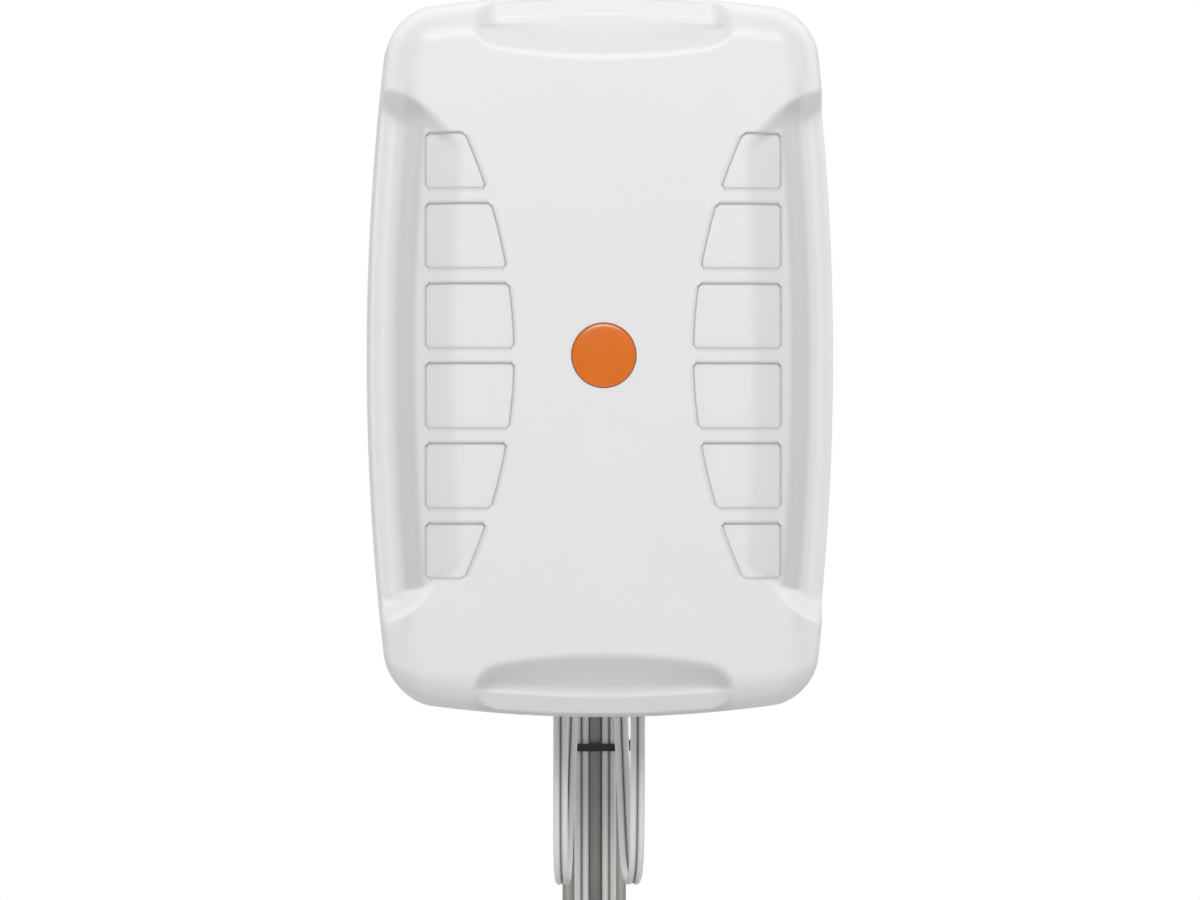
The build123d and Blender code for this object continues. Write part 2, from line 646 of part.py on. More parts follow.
def loop_route(side):
    """The drip loop: down from the gland, round and up behind, to the middle of a run."""
    low = RADOME_BOTTOM
    points = [
        (23.4, -100.0, GLAND_END),
        (23.4, -100.0, low - 20.0),
        (23.4, -96.5, low - 52.0),
        (23.2, -92.0, low - LOOP_DROP + 15.2),
        (22.0, -76.8, low - LOOP_DROP),
        (20.0, -55.2, low - LOOP_DROP),
        (18.8, -40.0, low - LOOP_DROP + 15.2),
        (17.2, -37.4, low - 50.0),
        (16.4, -38.0, low - 30.0),
    ]
    return [(side * x, y, z) for x, y, z in points]


def run_route(side):
    """From the drip loop up behind the housing, over, and straight down the mast to the coil."""
    low = RADOME_BOTTOM
    points = [
        (16.4, -38.0, low - 30.0),
        (15.44, -38.72, low - 6.0),
        (14.8, -43.5, low + 38.0),
        (14.2, -51.5, low + 84.0),
        (12.8, -59.5, low + 122.0),
        (12.0, -62.4, low + 146.3),
        (11.0, -50.7, low + 158.0),
        (9.8, -34.1, low + 158.0),
        (8.8, RUN_Y, low + 146.3),
        (RUN_X, RUN_Y - 0.1, low + 122.0),
        (RUN_X, RUN_Y, COIL_Z),
    ]
    return [(side * x, y, z) for x, y, z in points]


def twin(points):
    """A flat twin cord, its width across X, along the rounded path."""
    path = rounded_path(points)
    section = Plane(origin=path @ 0, x_dir=(1, 0, 0), z_dir=path % 0) * SlotOverall(TWIN_WIDTH, STRAND)
    body = sweep(section, path=path)
    print("  volume ratio", round(body.volume / (section.face().area * path.length), 3))
    return body


def coil_ring(side):
    """The outer form of one wound coil: a ring standing on edge in front of the mast."""
    place = Plane(origin=(side * COIL_X_IN, COIL_Y, COIL_Z), x_dir=(0, 1, 0), z_dir=(side, 0, 0))
    return extrude(place * (Circle(COIL_OUT) - Circle(COIL_IN)), COIL_X_OUT - COIL_X_IN)


def tail_route(side, arm):
    """One single cable from the split boot to its plug; arm -1 is the inner one and +1 the outer one."""
    start = BOOT_TOP - BOOT_LENGTH
    centre = RUN_X + COLUMN_PITCH
    spread = 1.0 if arm > 0 else 0.85
    points = [
        (0.0, 0.0, 0.0),
        (0.0, 0.0, -16.0),
        (4.4, -2.2, -37.0),
        (7.0, -3.8, -60.0),
        (6.8, -4.4, -80.0),
    ]
    first = centre + arm * TAIL_SPACING / 2
    return [(side * (first + arm * spread * x), RUN_Y + y, start + z) for x, y, z in points]


def build_cables():
    """Each twin cable: loop, run, coil, exit, split boot, tails and plugs."""
    number = 0
    for name, side in SIDES.items():
        ring = coil_ring(side)
        save(f"{name}_cable_loop", twin(loop_route(side)))
        below = side * (RUN_X + COLUMN_PITCH)
        top = Plane(origin=(below, RUN_Y, BOOT_TOP), x_dir=(1, 0, 0), z_dir=(0, 0, 1))
        leave = extrude(top * SlotOverall(TWIN_WIDTH, STRAND), COIL_Z - BOOT_TOP)
        save(f"{name}_cable_run", twin(run_route(side)[::-1]) - ring, leave - ring)
        save(f"{name}_cable_coil", ring)
        foot = top.offset(-BOOT_LENGTH)
        save(f"{name}_split_boot", loft([foot * SlotOverall(13.4, 7.6), top * SlotOverall(11.0, 6.4)]))
        for arm in (-1, 1):
            number += 1
            route = tail_route(side, arm)
            save(f"cable_tail_{number}", tube(route, STRAND / 2))
            build_plug(number, route[-1], route[-2])


def build_plug(number, end, before):
    """A crimped coaxial plug in line with its cable, and the hexagonal nut that turns on it."""
    axis = (Vector(*end) - Vector(*before)).normalized()

    def at(distance):
        return tuple(Vector(*end) + axis * distance)

    body = rod(3.1, at(0), at(9)) + rod(3.7, at(9), at(11.5)) + rod(2.6, at(11.5), at(15.5))
    body += rod(2.95, at(15.5), at(16.5)) + rod(2.3, at(16.5), at(18.5)) + rod(0.5, at(18.5), at(20))
    save(f"sma_plug_{number}", body)
    nut = hexagon(8.0, at(11.8), at(20.6)) - rod(2.68, at(11), at(15.3)) - rod(3.1, at(15.2), at(21))
    save(f"sma_nut_{number}", nut)


def build_ties():
    """The black cable ties: on the mast, round the mast and both coils, and round each coil."""
    base = Plane(origin=(0, 0, TIE_Z - TIE_WIDTH / 2), x_dir=(1, 0, 0), z_dir=(0, 0, 1))
    sections = Circle(MAST_RADIUS + 0.35)
    for side in SIDES.values():
        sections += Pos(side * RUN_X, RUN_Y) * SlotOverall(TWIN_WIDTH + 0.4, STRAND + 0.4)
    hull = make_hull(sections.edges())
    band = extrude(base * (offset(hull, TIE_THICK) - hull), TIE_WIDTH)
    head = block((20.0, -8.0, TIE_Z - 3.4), (25.4, -1.0, TIE_Z + 3.4))
    head -= rod(MAST_RADIUS + 0.35, (0, 0, TIE_Z - 5), (0, 0, TIE_Z + 5))
    tail = block((22.3, -20.0, TIE_Z - 0.4), (23.6, -8.0, TIE_Z + 3.0))
    save("mast_cable_tie", band + head + tail)

    base = Plane(origin=(0, 0, COIL_Z - 3.8), x_dir=(1, 0, 0), z_dir=(0, 0, 1))
    bundle_front = COIL_Y + COIL_IN - 0.9
    bundle_back = COIL_Y + COIL_OUT
    bundle = Pos(0, (bundle_front + bundle_back) / 2) * Rectangle(2 * COIL_X_OUT + 0.6, bundle_back - bundle_front)
    hull = make_hull((Circle(MAST_RADIUS + 0.35) + bundle).edges())
    band = extrude(base * (offset(hull, 1.6) - hull), 7.6)
    head = block((COIL_X_OUT + 1.0, -46.0, COIL_Z - 5.0), (COIL_X_OUT + 7.0, -37.0, COIL_Z + 5.0))
    save("mast_coil_tie", band + head)

    ties = []
    for side in SIDES.values():
        for angle in (130.0, 230.0):
            middle_x = side * (COIL_X_IN + COIL_X_OUT) / 2
            width = COIL_X_OUT - COIL_X_IN + 0.6
            place = Plane(
                origin=(middle_x, COIL_Y + COIL_MEAN_RADIUS * math.cos(math.radians(angle)),
                        COIL_Z + COIL_MEAN_RADIUS * math.sin(math.radians(angle))),
                x_dir=(1, 0, 0),
                z_dir=(0, -math.sin(math.radians(angle)), math.cos(math.radians(angle))),
            )
            hole = RectangleRounded(width, COIL_BUILD + 1.2, 1.0)
            ring = extrude(place * (offset(hole, TIE_THICK) - hole), TIE_WIDTH / 2, both=True)
            lump = Pos(side * (width / 2 + 3.4), 0) * Rectangle(5.0, 7.0)
            ties.append(ring + extrude(place * lump, 3.2, both=True))
    save("coil_ties", *ties)


build_mast()
build_clamp()
build_pole_bracket()
build_antenna_bracket()
build_rear_cover()
build_glands()
build_reflector()
build_boards()
build_pigtails()
build_ties()
build_cables()
build_radome()
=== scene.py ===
"""Looks for an enclosed directional antenna on a mast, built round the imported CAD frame.

Everything is in metres in the CAD frame: +Z up, the antenna faces -Y, and the origin is the centre of
the mast's lower end. Sizes that read more easily in millimetres are turned to metres with MM.
"""

import json
import logging
import math
from dataclasses import dataclass
from enum import Enum

import bmesh
import bpy
import numpy as np
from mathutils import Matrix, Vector

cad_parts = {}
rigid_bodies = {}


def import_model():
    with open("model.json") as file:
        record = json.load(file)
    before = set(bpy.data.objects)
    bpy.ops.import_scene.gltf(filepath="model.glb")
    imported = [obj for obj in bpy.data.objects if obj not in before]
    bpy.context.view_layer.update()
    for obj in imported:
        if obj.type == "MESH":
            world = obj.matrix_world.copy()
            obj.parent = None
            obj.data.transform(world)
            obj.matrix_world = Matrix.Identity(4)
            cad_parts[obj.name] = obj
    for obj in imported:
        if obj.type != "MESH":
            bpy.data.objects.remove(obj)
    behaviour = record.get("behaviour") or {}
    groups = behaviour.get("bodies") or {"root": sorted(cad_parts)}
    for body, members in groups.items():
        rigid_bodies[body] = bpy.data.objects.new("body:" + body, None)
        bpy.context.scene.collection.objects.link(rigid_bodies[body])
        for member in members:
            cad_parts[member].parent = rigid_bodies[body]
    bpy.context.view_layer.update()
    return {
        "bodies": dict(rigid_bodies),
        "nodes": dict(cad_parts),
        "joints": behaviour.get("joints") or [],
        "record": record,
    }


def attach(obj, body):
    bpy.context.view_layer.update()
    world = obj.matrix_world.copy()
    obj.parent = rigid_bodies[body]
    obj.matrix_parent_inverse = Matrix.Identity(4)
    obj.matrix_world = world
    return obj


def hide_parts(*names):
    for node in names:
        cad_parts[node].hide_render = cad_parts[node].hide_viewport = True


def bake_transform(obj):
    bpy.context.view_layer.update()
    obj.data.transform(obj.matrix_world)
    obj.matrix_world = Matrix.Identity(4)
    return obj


MM = 0.001
# points nearer than this, in metres, are one point
WELD = 1e-6
# keeps a division from a length of nothing
TINY = 1e-9
# the height of the radome's and the badge's centre, in millimetres
CENTRE_Z = 666.0
# the attribute that holds how much painted shade each point of a piece takes
PAINTED_SHADE_LAYER = "painted_shade_share"
log = logging.getLogger("antenna")

Point = tuple[float, float, float]
Settings = dict[str, object]


# ---------------------------------------------------------------------------
# Small tools
# ---------------------------------------------------------------------------


def linear(code: str) -> tuple[float, float, float, float]:
    """Turns an sRGB hex colour to linear light.

    Args:
        code: six hex digits, such as "E6E4DF".

    Returns:
        Red, green, blue and a full alpha, in linear light.
    """
    parts = [int(code[i : i + 2], 16) / 255 for i in (0, 2, 4)]
    # the sRGB curve: a short straight foot, then a power
    r, g, b = (c / 12.92 if c <= 0.04045 else ((c + 0.055) / 1.055) ** 2.4 for c in parts)
    return (r, g, b, 1.0)


def add(
    tree: bpy.types.NodeTree,
    kind: str,
    inputs: Settings | None = None,
    **settings: object,
) -> bpy.types.Node:
    """Adds one node, sets its sockets and properties, and makes its links.

    Args:
        tree: the material's or the world's node tree.
        kind: the node's type name, without the "ShaderNode" in front.
        inputs: socket name or number to a value, or to another node's output, which is linked.
        settings: properties of the node itself.

    Returns:
        The new node.
    """
    node = tree.nodes.new("ShaderNode" + kind)
    for key, value in settings.items():
        setattr(node, key, value)
    for key, value in (inputs or {}).items():
        socket = node.inputs[key]
        if isinstance(value, bpy.types.NodeSocket):
            tree.links.new(value, socket)
        else:
            socket.default_value = value
    return node


def deselect() -> None:
    """Leaves nothing selected, because an operator acts on all that is."""
    for item in bpy.context.selected_objects:
        item.select_set(False)


def name_new(name: str) -> bpy.types.Object:
    """Names the object that an operator has just added, and its mesh.

    Args:
        name: the new name.

    Returns:
        The object.
    """
    item = bpy.context.object
    item.name = name
    item.data.name = name
    return item


def activate(item: bpy.types.Object) -> None:
    """Makes one object the only selected one and the active one.

    Args:
        item: the object.
    """
    deselect()
    item.select_set(True)
    bpy.context.view_layer.objects.active = item


def apply_all(item: bpy.types.Object) -> None:
    """Applies an object's modifiers in order.

    Args:
        item: the object.
    """
    activate(item)
    for modifier in list(item.modifiers):
        bpy.ops.object.modifier_apply(modifier=modifier.name)


def settle(item: bpy.types.Object) -> None:
    """Puts the object at the origin, unturned and unscaled, with its place in its mesh."""
    activate(item)
    bpy.ops.object.transform_apply(location=True, rotation=True, scale=True)


def smooth(item: bpy.types.Object, degrees: float = 35.0) -> None:
    """Shades a mesh smooth, with sharp edges where it turns by more than an angle."""
    activate(item)
    bpy.ops.object.shade_smooth_by_angle(angle=math.radians(degrees))


def paint(item: bpy.types.Object, material: bpy.types.Material) -> None:
    """Gives a piece or a CAD node one material."""
    item.data.materials.clear()
    item.data.materials.append(material)


def ease(t: np.ndarray) -> np.ndarray:
    """Smooth step from 0 to 1."""
    t = np.clip(t, 0, 1)
    return t * t * (3 - 2 * t)


def lathe(name: str, profile: list[Point], centre: Point, axis: Point, steps: int) -> bpy.types.Object:
    """Turns a profile about an axis, as on a lathe.

    Args:
        name: the piece's name.
        profile: points in metres from one end of the profile to the other.
        centre: a point of the axis.
        axis: the axis's direction.
        steps: the sides of the turned form.

    Returns:
        The closed piece, with its normals outwards.
    """
    deselect()
    bpy.ops.mesh.primitive_plane_add(size=MM, location=profile[0])
    item = name_new(name)
    settle(item)
    bpy.ops.object.mode_set(mode="EDIT")
    bpy.ops.mesh.select_mode(type="VERT")
    bpy.ops.mesh.select_all(action="SELECT")
    bpy.ops.mesh.merge(type="CENTER")
    for before, after in zip(profile, profile[1:]):
        step = Vector(after) - Vector(before)
        bpy.ops.mesh.extrude_region_move(TRANSFORM_OT_translate={"value": step})
    bpy.ops.mesh.select_all(action="SELECT")
    bpy.ops.mesh.spin(steps=steps, angle=math.tau, center=centre, axis=axis)
    bpy.ops.mesh.select_all(action="SELECT")
    bpy.ops.mesh.remove_doubles(threshold=WELD)
    bpy.ops.mesh.normals_make_consistent(inside=False)
    bpy.ops.object.mode_set(mode="OBJECT")
    return item


# ---------------------------------------------------------------------------
# Finishes
# ---------------------------------------------------------------------------


def new_material(name: str) -> tuple[bpy.types.Material, bpy.types.NodeTree]:
    """Makes a node material with nothing in it yet.

    Args:
        name: the material's name.

    Returns:
        The material and its empty node tree.
    """
    material = bpy.data.materials.new(name)
    material.use_nodes = True
    material.node_tree.nodes.clear()
    return material, material.node_tree


class MetalFace(Enum):
    """How a metal's surface was made."""

    DRAWN = "drawn"
    CAST = "cast"
    PLATED = "plated"
    TURNED = "turned"


@dataclass(frozen=True)
class Plastic:
    """A moulded plastic or rubber: one body colour, a fine grain from the mould and a slight sheen.

    What it gives the eye: an even colour that drifts by a few percent, a highlight broken up by grain, and,
    where asked, painted shade read from the piece's attribute.
    """

    name: str
    colour: str
    roughness: float
    grain_mm: float
    grain_height_mm: float
    drift: float = 0.03
    ior: float = 1.5
    roughness_spread: float = 0.08
    # how much of the colour the painted shade takes away where the piece's attribute is full
    painted_shade: float = 0.0
    drift_mm: float = 40.0
    drift_from: float = 0.35
    drift_to: float = 0.65

    def build(self) -> bpy.types.Material:
        """Builds the material.

        Returns:
            The material, named for the plastic.
        """
        material, tree = new_material(self.name)
        place = add(tree, "TexCoord").outputs["Object"]
        # a slow colour drift, as between the mould's hotter and cooler ends
        slow = add(
            tree, "TexNoise", {"Vector": place, "Scale": 1 / (self.drift_mm * MM), "Detail": 2.0}
        ).outputs["Fac"]
        body = linear(self.colour)
        dark = tuple(c * (1 - self.drift) for c in body[:3]) + (1.0,)
        ramp = add(tree, "ValToRGB", {"Fac": slow})
        ramp.color_ramp.elements[0].position = self.drift_from
        ramp.color_ramp.elements[0].color = dark
        ramp.color_ramp.elements[1].position = self.drift_to
        ramp.color_ramp.elements[1].color = body
        grain = add(
            tree,
            "TexNoise",
            {"Vector": place, "Scale": 1 / (self.grain_mm * MM), "Detail": 3.0, "Roughness": 0.6},
        ).outputs["Fac"]
        rough = add(
            tree,
            "MapRange",
            {
                "Value": grain,
                "To Min": self.roughness - self.roughness_spread / 2,
                "To Max": self.roughness + self.roughness_spread / 2,
            },
        ).outputs["Result"]
        bump = add(
            tree, "Bump", {"Height": grain, "Distance": self.grain_height_mm * MM, "Strength": 0.6}
        ).outputs["Normal"]
        colour = ramp.outputs["Color"]
        if self.painted_shade:
            # painted shade: the colour is darkened where the piece's attribute says, in place of the shade on
            # steep walls, faces that look down and creases
            share = add(tree, "Attribute", attribute_name=PAINTED_SHADE_LAYER).outputs["Fac"]
            kept = add(
                tree, "Math", {0: share, 1: -self.painted_shade, 2: 1.0}, operation="MULTIPLY_ADD"
            ).outputs[0]
            colour = add(tree, "VectorMath", {0: colour, "Scale": kept}, operation="SCALE").outputs[0]
        shader = add(
            tree,
            "BsdfPrincipled",
            {"Base Color": colour, "Roughness": rough, "Normal": bump, "IOR": self.ior},
        )
        add(tree, "OutputMaterial", {"Surface": shader.outputs["BSDF"]})
        return material


@dataclass(frozen=True)
class Metal:
    """A bare or plated metal.

    What it gives the eye: a sharp or stretched highlight, with the marks of how the surface was made.
    """

    name: str
    colour: str
    roughness: float
    face: MetalFace
    scale_mm: float
    depth_mm: float = 0.02
    metallic: float = 1.0
    shade: float = 0.86
    shade_from: float = 0.2
    shade_to: float = 0.8
    polish: float = 0.06
    wear: float = 0.08

    def pattern(self, tree: bpy.types.NodeTree) -> bpy.types.NodeSocket:
        """Builds the marks of how the surface was made.

        Args:
            tree: the material's node tree.

        Returns:
            The pattern's value, from 0 to 1.
        """
        place = add(tree, "TexCoord").outputs["Object"]
        scale = 1 / (self.scale_mm * MM)
        if self.face is MetalFace.DRAWN:
            # draw lines run along Z, so the noise is stretched along it
            lines = add(tree, "Mapping", {"Vector": place, "Scale": (1.0, 1.0, 0.02)}).outputs["Vector"]
            return add(tree, "TexNoise", {"Vector": lines, "Scale": scale, "Detail": 2.0}).outputs["Fac"]
        if self.face is MetalFace.PLATED:
            # zinc crystals: one for each cell, shaded from its middle to its edge
            cells = add(tree, "TexVoronoi", {"Vector": place, "Scale": scale}, feature="F1")
            return cells.outputs["Distance"]
        if self.face is MetalFace.TURNED:
            # tool marks run round Z, so the noise is stretched across it
            rings = add(tree, "Mapping", {"Vector": place, "Scale": (0.15, 0.15, 1.0)}).outputs["Vector"]
            return add(tree, "TexNoise", {"Vector": rings, "Scale": scale, "Detail": 1.0}).outputs["Fac"]
        # a cast skin is pebbled the same in every direction
        pebbles = {"Vector": place, "Scale": scale, "Detail": 4.0, "Roughness": 0.65}
        return add(tree, "TexNoise", pebbles).outputs["Fac"]

    def build(self) -> bpy.types.Material:
        """Builds the material.

        Returns:
            The material, named for the metal.
        """
        material, tree = new_material(self.name)
        marks = self.pattern(tree)
        body = linear(self.colour)
        ramp = add(tree, "ValToRGB", {"Fac": marks})
        ramp.color_ramp.elements[0].position = self.shade_from
        ramp.color_ramp.elements[0].color = tuple(c * self.shade for c in body[:3]) + (1.0,)
        ramp.color_ramp.elements[1].position = self.shade_to
        ramp.color_ramp.elements[1].color = body
        rough = add(
            tree,
            "MapRange",
            {
                "Value": marks,
                "To Min": self.roughness - self.polish,
                "To Max": self.roughness + self.wear,
            },
        ).outputs["Result"]
        bump = add(
            tree, "Bump", {"Height": marks, "Distance": self.depth_mm * MM, "Strength": 0.5}
        ).outputs["Normal"]
        shader = add(
            tree,
            "BsdfPrincipled",
            {
                "Base Color": ramp.outputs["Color"],
                "Metallic": self.metallic,
                "Roughness": rough,
                "Normal": bump,
            },
        )
        add(tree, "OutputMaterial", {"Surface": shader.outputs["BSDF"]})
        return material


@dataclass(frozen=True)
class Laminate:
    """Glass-cloth laminate of a circuit board.

    What it gives the eye: a green-tan resin with the cloth's weave just showing.
    """

    name: str = "glass_epoxy_laminate"
    colour: str = "6E7A3C"
    thread_mm: float = 0.6
    thread_height_mm: float = 0.02
    shade: float = 0.85
    roughness: float = 0.38
    ior: float = 1.55
    # a wave texture's own factor on its scale
    wave_rate: float = 20.0

    def build(self) -> bpy.types.Material:
        """Builds the material.

        Returns:
            The material.
        """
        material, tree = new_material(self.name)
        place = add(tree, "TexCoord").outputs["Object"]
        scale = 1 / (self.thread_mm * MM) / self.wave_rate
        warp, weft = (
            add(tree, "TexWave", {"Vector": place, "Scale": scale}, bands_direction=way).outputs["Fac"]
            for way in ("X", "Z")
        )
        weave = add(tree, "Math", {0: warp, 1: weft}, operation="MULTIPLY").outputs[0]
        body = linear(self.colour)
        ramp = add(tree, "ValToRGB", {"Fac": weave})
        ramp.color_ramp.elements[0].color = tuple(c * self.shade for c in body[:3]) + (1.0,)
        ramp.color_ramp.elements[1].color = body
        bump = add(
            tree, "Bump", {"Height": weave, "Distance": self.thread_height_mm * MM, "Strength": 0.4}
        ).outputs["Normal"]
        shader = add(
            tree,
            "BsdfPrincipled",
            {
                "Base Color": ramp.outputs["Color"],
                "Roughness": self.roughness,
                "Normal": bump,
                "IOR": self.ior,
            },
        )
        add(tree, "OutputMaterial", {"Surface": shader.outputs["BSDF"]})
        return material


# ASA, moulded: an even white with a soft broad sheen, and painted shade that makes it a little greyer on
# steep and under-facing walls
RADOME_WHITE = Plastic("asa_radome_white", "DEDEDE", 0.42, 0.9, 0.02, drift=0.008, painted_shade=0.34)
# the same ASA from a coarser mould: duller than the front, so that the back reads as the plain side
COVER_WHITE = Plastic("asa_cover_white", "D6D6D5", 0.5, 1.2, 0.04, drift=0.015)
# acrylic, cast and polished: a deep orange with one small clear highlight on its dome
BADGE_ORANGE = Plastic("acrylic_badge_orange", "D96B0A", 0.26, 0.8, 0.005, drift=0.05)
# the badge's cut edge: a thin brown line round it
BADGE_RIM = Plastic("acrylic_badge_rim", "8A5A38", 0.35, 0.8, 0.005)
# PVC, extruded: a pale grey satin, with painted shade in the groove between the strands and down their outer
# sides
CABLE_GREY = Plastic("pvc_cable_light_grey", "D9D9D8", 0.42, 1.4, 0.02, drift=0.015, painted_shade=0.7)
# EPDM, moulded: a dead black line with no highlight
SEAL_BLACK = Plastic("epdm_seal_black", "242424", 0.75, 1.0, 0.05)
# glass-filled polyamide: a mid grey with a fine matt grain
GLAND_GREY = Plastic("polyamide_gland_grey", "BDBDBB", 0.5, 1.0, 0.04)
# glass-filled polyamide, moulded black: small dark plates that stay matt
LOCK_BLACK = Plastic("polyamide_lock_black", "2A2A2B", 0.5, 1.0, 0.04)
# polyamide, moulded thin: black with a soft line of light along its edges
TIE_BLACK = Plastic("polyamide_tie_black", "1E1E1F", 0.42, 0.8, 0.03)
# polyethylene: black and waxy, with a wide dim highlight
CAP_BLACK = Plastic("polyethylene_cap_black", "2B2B2C", 0.55, 1.2, 0.05)
# polyolefin, shrunk on: grey and slightly wrinkled
BOOT_GREY = Plastic("polyolefin_boot_grey", "A9A9A8", 0.55, 2.0, 0.08)
# FEP: a thin brown sleeve with a bright line along it
PIGTAIL_BROWN = Plastic("fep_pigtail_brown", "8C5A34", 0.3, 0.8, 0.01)
# steel, drawn and galvanised: a warm mid grey with long faint draw lines and light edges
MAST_STEEL = Metal("galvanised_steel_mast", "918F8C", 0.36, MetalFace.DRAWN, 1.6, 0.012)
# stainless steel, turned: bright, with fine rings
STAINLESS = Metal("stainless_screw", "C9C7C2", 0.3, MetalFace.TURNED, 0.5, 0.01)
# brass, turned: yellow with fine rings
BRASS = Metal("brass_insert", "C6A15B", 0.32, MetalFace.TURNED, 0.5, 0.01)
# brass under thin gold: a warmer and sharper yellow than the inserts
GOLD = Metal("gold_plated_brass", "D9B45A", 0.24, MetalFace.TURNED, 0.4, 0.01)
# steel, coated with zinc: crystals a few millimetres across, each a little darker at its middle
ZINC = Metal("zinc_plated_steel", "B9BBBC", 0.38, MetalFace.PLATED, 5.0, 0.01)
# aluminium, die cast: a pale grey with a fine pebbled skin
JAW_CASTING = Metal("die_cast_aluminium", "A9AAAB", 0.5, MetalFace.CAST, 1.6, 0.08)
# aluminium sheet, rolled: long soft streaks along the roll
REFLECTOR = Metal("rolled_aluminium_sheet", "CBCCCC", 0.34, MetalFace.DRAWN, 0.8, 0.01)
# copper, etched on a board: an orange-brown that varies slightly
COPPER = Metal("printed_copper", "C98358", 0.3, MetalFace.CAST, 0.8, 0.01)
# glass cloth in epoxy, pressed: green-tan, with its weave just showing
BOARD = Laminate()
# painted board, rolled: a pale matt floor that drifts slightly in tone
FLOOR_PALE = Plastic("matt_floor_pale", "D0D0D0", 0.8, 3.0, 0.05)

# the CAD nodes that each finish goes on, by the finish's name
NODE_FINISHES: dict[str, list[str]] = {
    COVER_WHITE.name: ["rear_cover"],
    SEAL_BLACK.name: ["perimeter_seal", "drain_vent"],
    GLAND_GREY.name: ["left_cable_gland", "right_cable_gland"],
    LOCK_BLACK.name: ["gland_lock_plates", "board_clips"],
    TIE_BLACK.name: ["mast_cable_tie", "mast_coil_tie", "coil_ties"],
    CAP_BLACK.name: ["mast_top_cap"],
    BOOT_GREY.name: ["left_split_boot", "right_split_boot"],
    PIGTAIL_BROWN.name: ["upper_pigtails", "lower_pigtails"],
    MAST_STEEL.name: ["mast_tube"],
    STAINLESS.name: [
        "cover_screws", "reflector_screws", "bracket_screws", "bracket_washers",
        *(f"{joint}_{kind}" for joint in ("tilt", "clamp") for kind in ("bolts", "nuts", "washers")),
    ],
    BRASS.name: ["threaded_inserts"],
    GOLD.name: [f"sma_{kind}_{n}" for kind in ("plug", "nut") for n in (1, 2, 3, 4)],
    ZINC.name: ["antenna_bracket", "pole_bracket"],
    JAW_CASTING.name: ["fixed_jaw", "rear_jaw"],
    REFLECTOR.name: ["reflector_plate", "reflector_standoffs"],
    COPPER.name: ["upper_array_copper", "lower_array_copper"],
    BOARD.name: [
        f"{place}_{tilt}45_board" for place in ("upper", "lower") for tilt in ("plus", "minus")
    ],
}

ALL_FINISHES = [
    RADOME_WHITE, COVER_WHITE, BADGE_ORANGE, BADGE_RIM, CABLE_GREY, SEAL_BLACK, GLAND_GREY, LOCK_BLACK,
    TIE_BLACK, CAP_BLACK, BOOT_GREY, PIGTAIL_BROWN, MAST_STEEL, STAINLESS, BRASS, GOLD, ZINC, JAW_CASTING,
    REFLECTOR, COPPER, BOARD,
]


# ---------------------------------------------------------------------------
# Cables
# ---------------------------------------------------------------------------


def route_line(name: str, points: list[Point], steps: int) -> np.ndarray:
    """Reads the smooth line of a cable from a NURBS spline.

    Args:
        name: a name for the spline while it is there.
        points: the route's points in metres, which are the spline's control points.
        steps: points of the line for each control point.

    Returns:
        The line's points, one row each.
    """
    curve = bpy.data.curves.new(name, "CURVE")
    curve.dimensions = "3D"
    curve.resolution_u = steps
    spline = curve.splines.new("NURBS")
    spline.points.add(len(points) - 1)
    for control, place in zip(spline.points, points):
        control.co = (*place, 1.0)
    spline.order_u = 3
    spline.use_endpoint_u = True
    holder = bpy.data.objects.new(name, curve)
    bpy.context.scene.collection.objects.link(holder)
    bpy.context.view_layer.update()
    mesh = bpy.data.meshes.new_from_object(holder)
    line = np.array([v.co for v in mesh.vertices], float).reshape(-1, 3)
    bpy.data.meshes.remove(mesh)
    bpy.data.objects.remove(holder)
    bpy.data.curves.remove(curve)
    return line


def arc_lengths(line: np.ndarray) -> np.ndarray:
    """Returns the length along a line from its start to each of its points."""
    return np.concatenate([[0.0], np.cumsum(np.linalg.norm(np.diff(line, axis=0), axis=1))])


def sweep(name: str, line: np.ndarray, section: list[tuple[float, float]]) -> bpy.types.Object:
    """Sweeps a section along a line, with its width held along X.

    Args:
        name: the piece's name.
        line: the points that it follows.
        section: the section's points, across and out, in metres, in order round it.

    Returns:
        The closed tube, with a UV map of metres along it and round it.
    """
    tangents = np.gradient(line, axis=0)
    tangents /= np.linalg.norm(tangents, axis=1)[:, None]
    # the X axis, less its share along the line
    across = np.array([1.0, 0.0, 0.0]) - tangents[:, :1] * tangents
    across /= np.linalg.norm(across, axis=1)[:, None]
    out = np.cross(tangents, across)
    shape = np.array(section)
    rings = line[:, None, :] + shape[None, :, :1] * across[:, None, :]
    rings = rings + shape[None, :, 1:] * out[:, None, :]
    sides, count = len(section), len(line)
    faces = []
    for start in range(0, (count - 1) * sides, sides):
        for j in range(sides):
            k = (j + 1) % sides
            faces.append((start + j, start + k, start + sides + k, start + sides + j))
    faces.append(tuple(range(sides))[::-1])
    faces.append(tuple((count - 1) * sides + j for j in range(sides)))
    mesh = bpy.data.meshes.new(name)
    mesh.from_pydata(rings.reshape(-1, 3).tolist(), [], faces)
    mesh.update()
    along = arc_lengths(line)
    turn = arc_lengths(np.vstack([shape, shape[:1]]))
    layer = mesh.uv_layers.new(name="UVMap")
    flat = np.zeros((len(mesh.loops), 2), np.float32)
    for k in range(len(faces) - 2):
        i, j = divmod(k, sides)
        start = mesh.polygons[k].loop_start
        corners = [(i, j), (i, j + 1), (i + 1, j + 1), (i + 1, j)]
        for n, (a, b) in enumerate(corners):
            flat[start + n] = (along[a], turn[b])
    layer.data.foreach_set("uv", flat.ravel())
    item = bpy.data.objects.new(name, mesh)
    bpy.context.scene.collection.objects.link(item)
    activate(item)
    bpy.ops.object.mode_set(mode="EDIT")
    bpy.ops.mesh.select_all(action="SELECT")
    bpy.ops.mesh.normals_make_consistent(inside=False)
    bpy.ops.object.mode_set(mode="OBJECT")
    return item


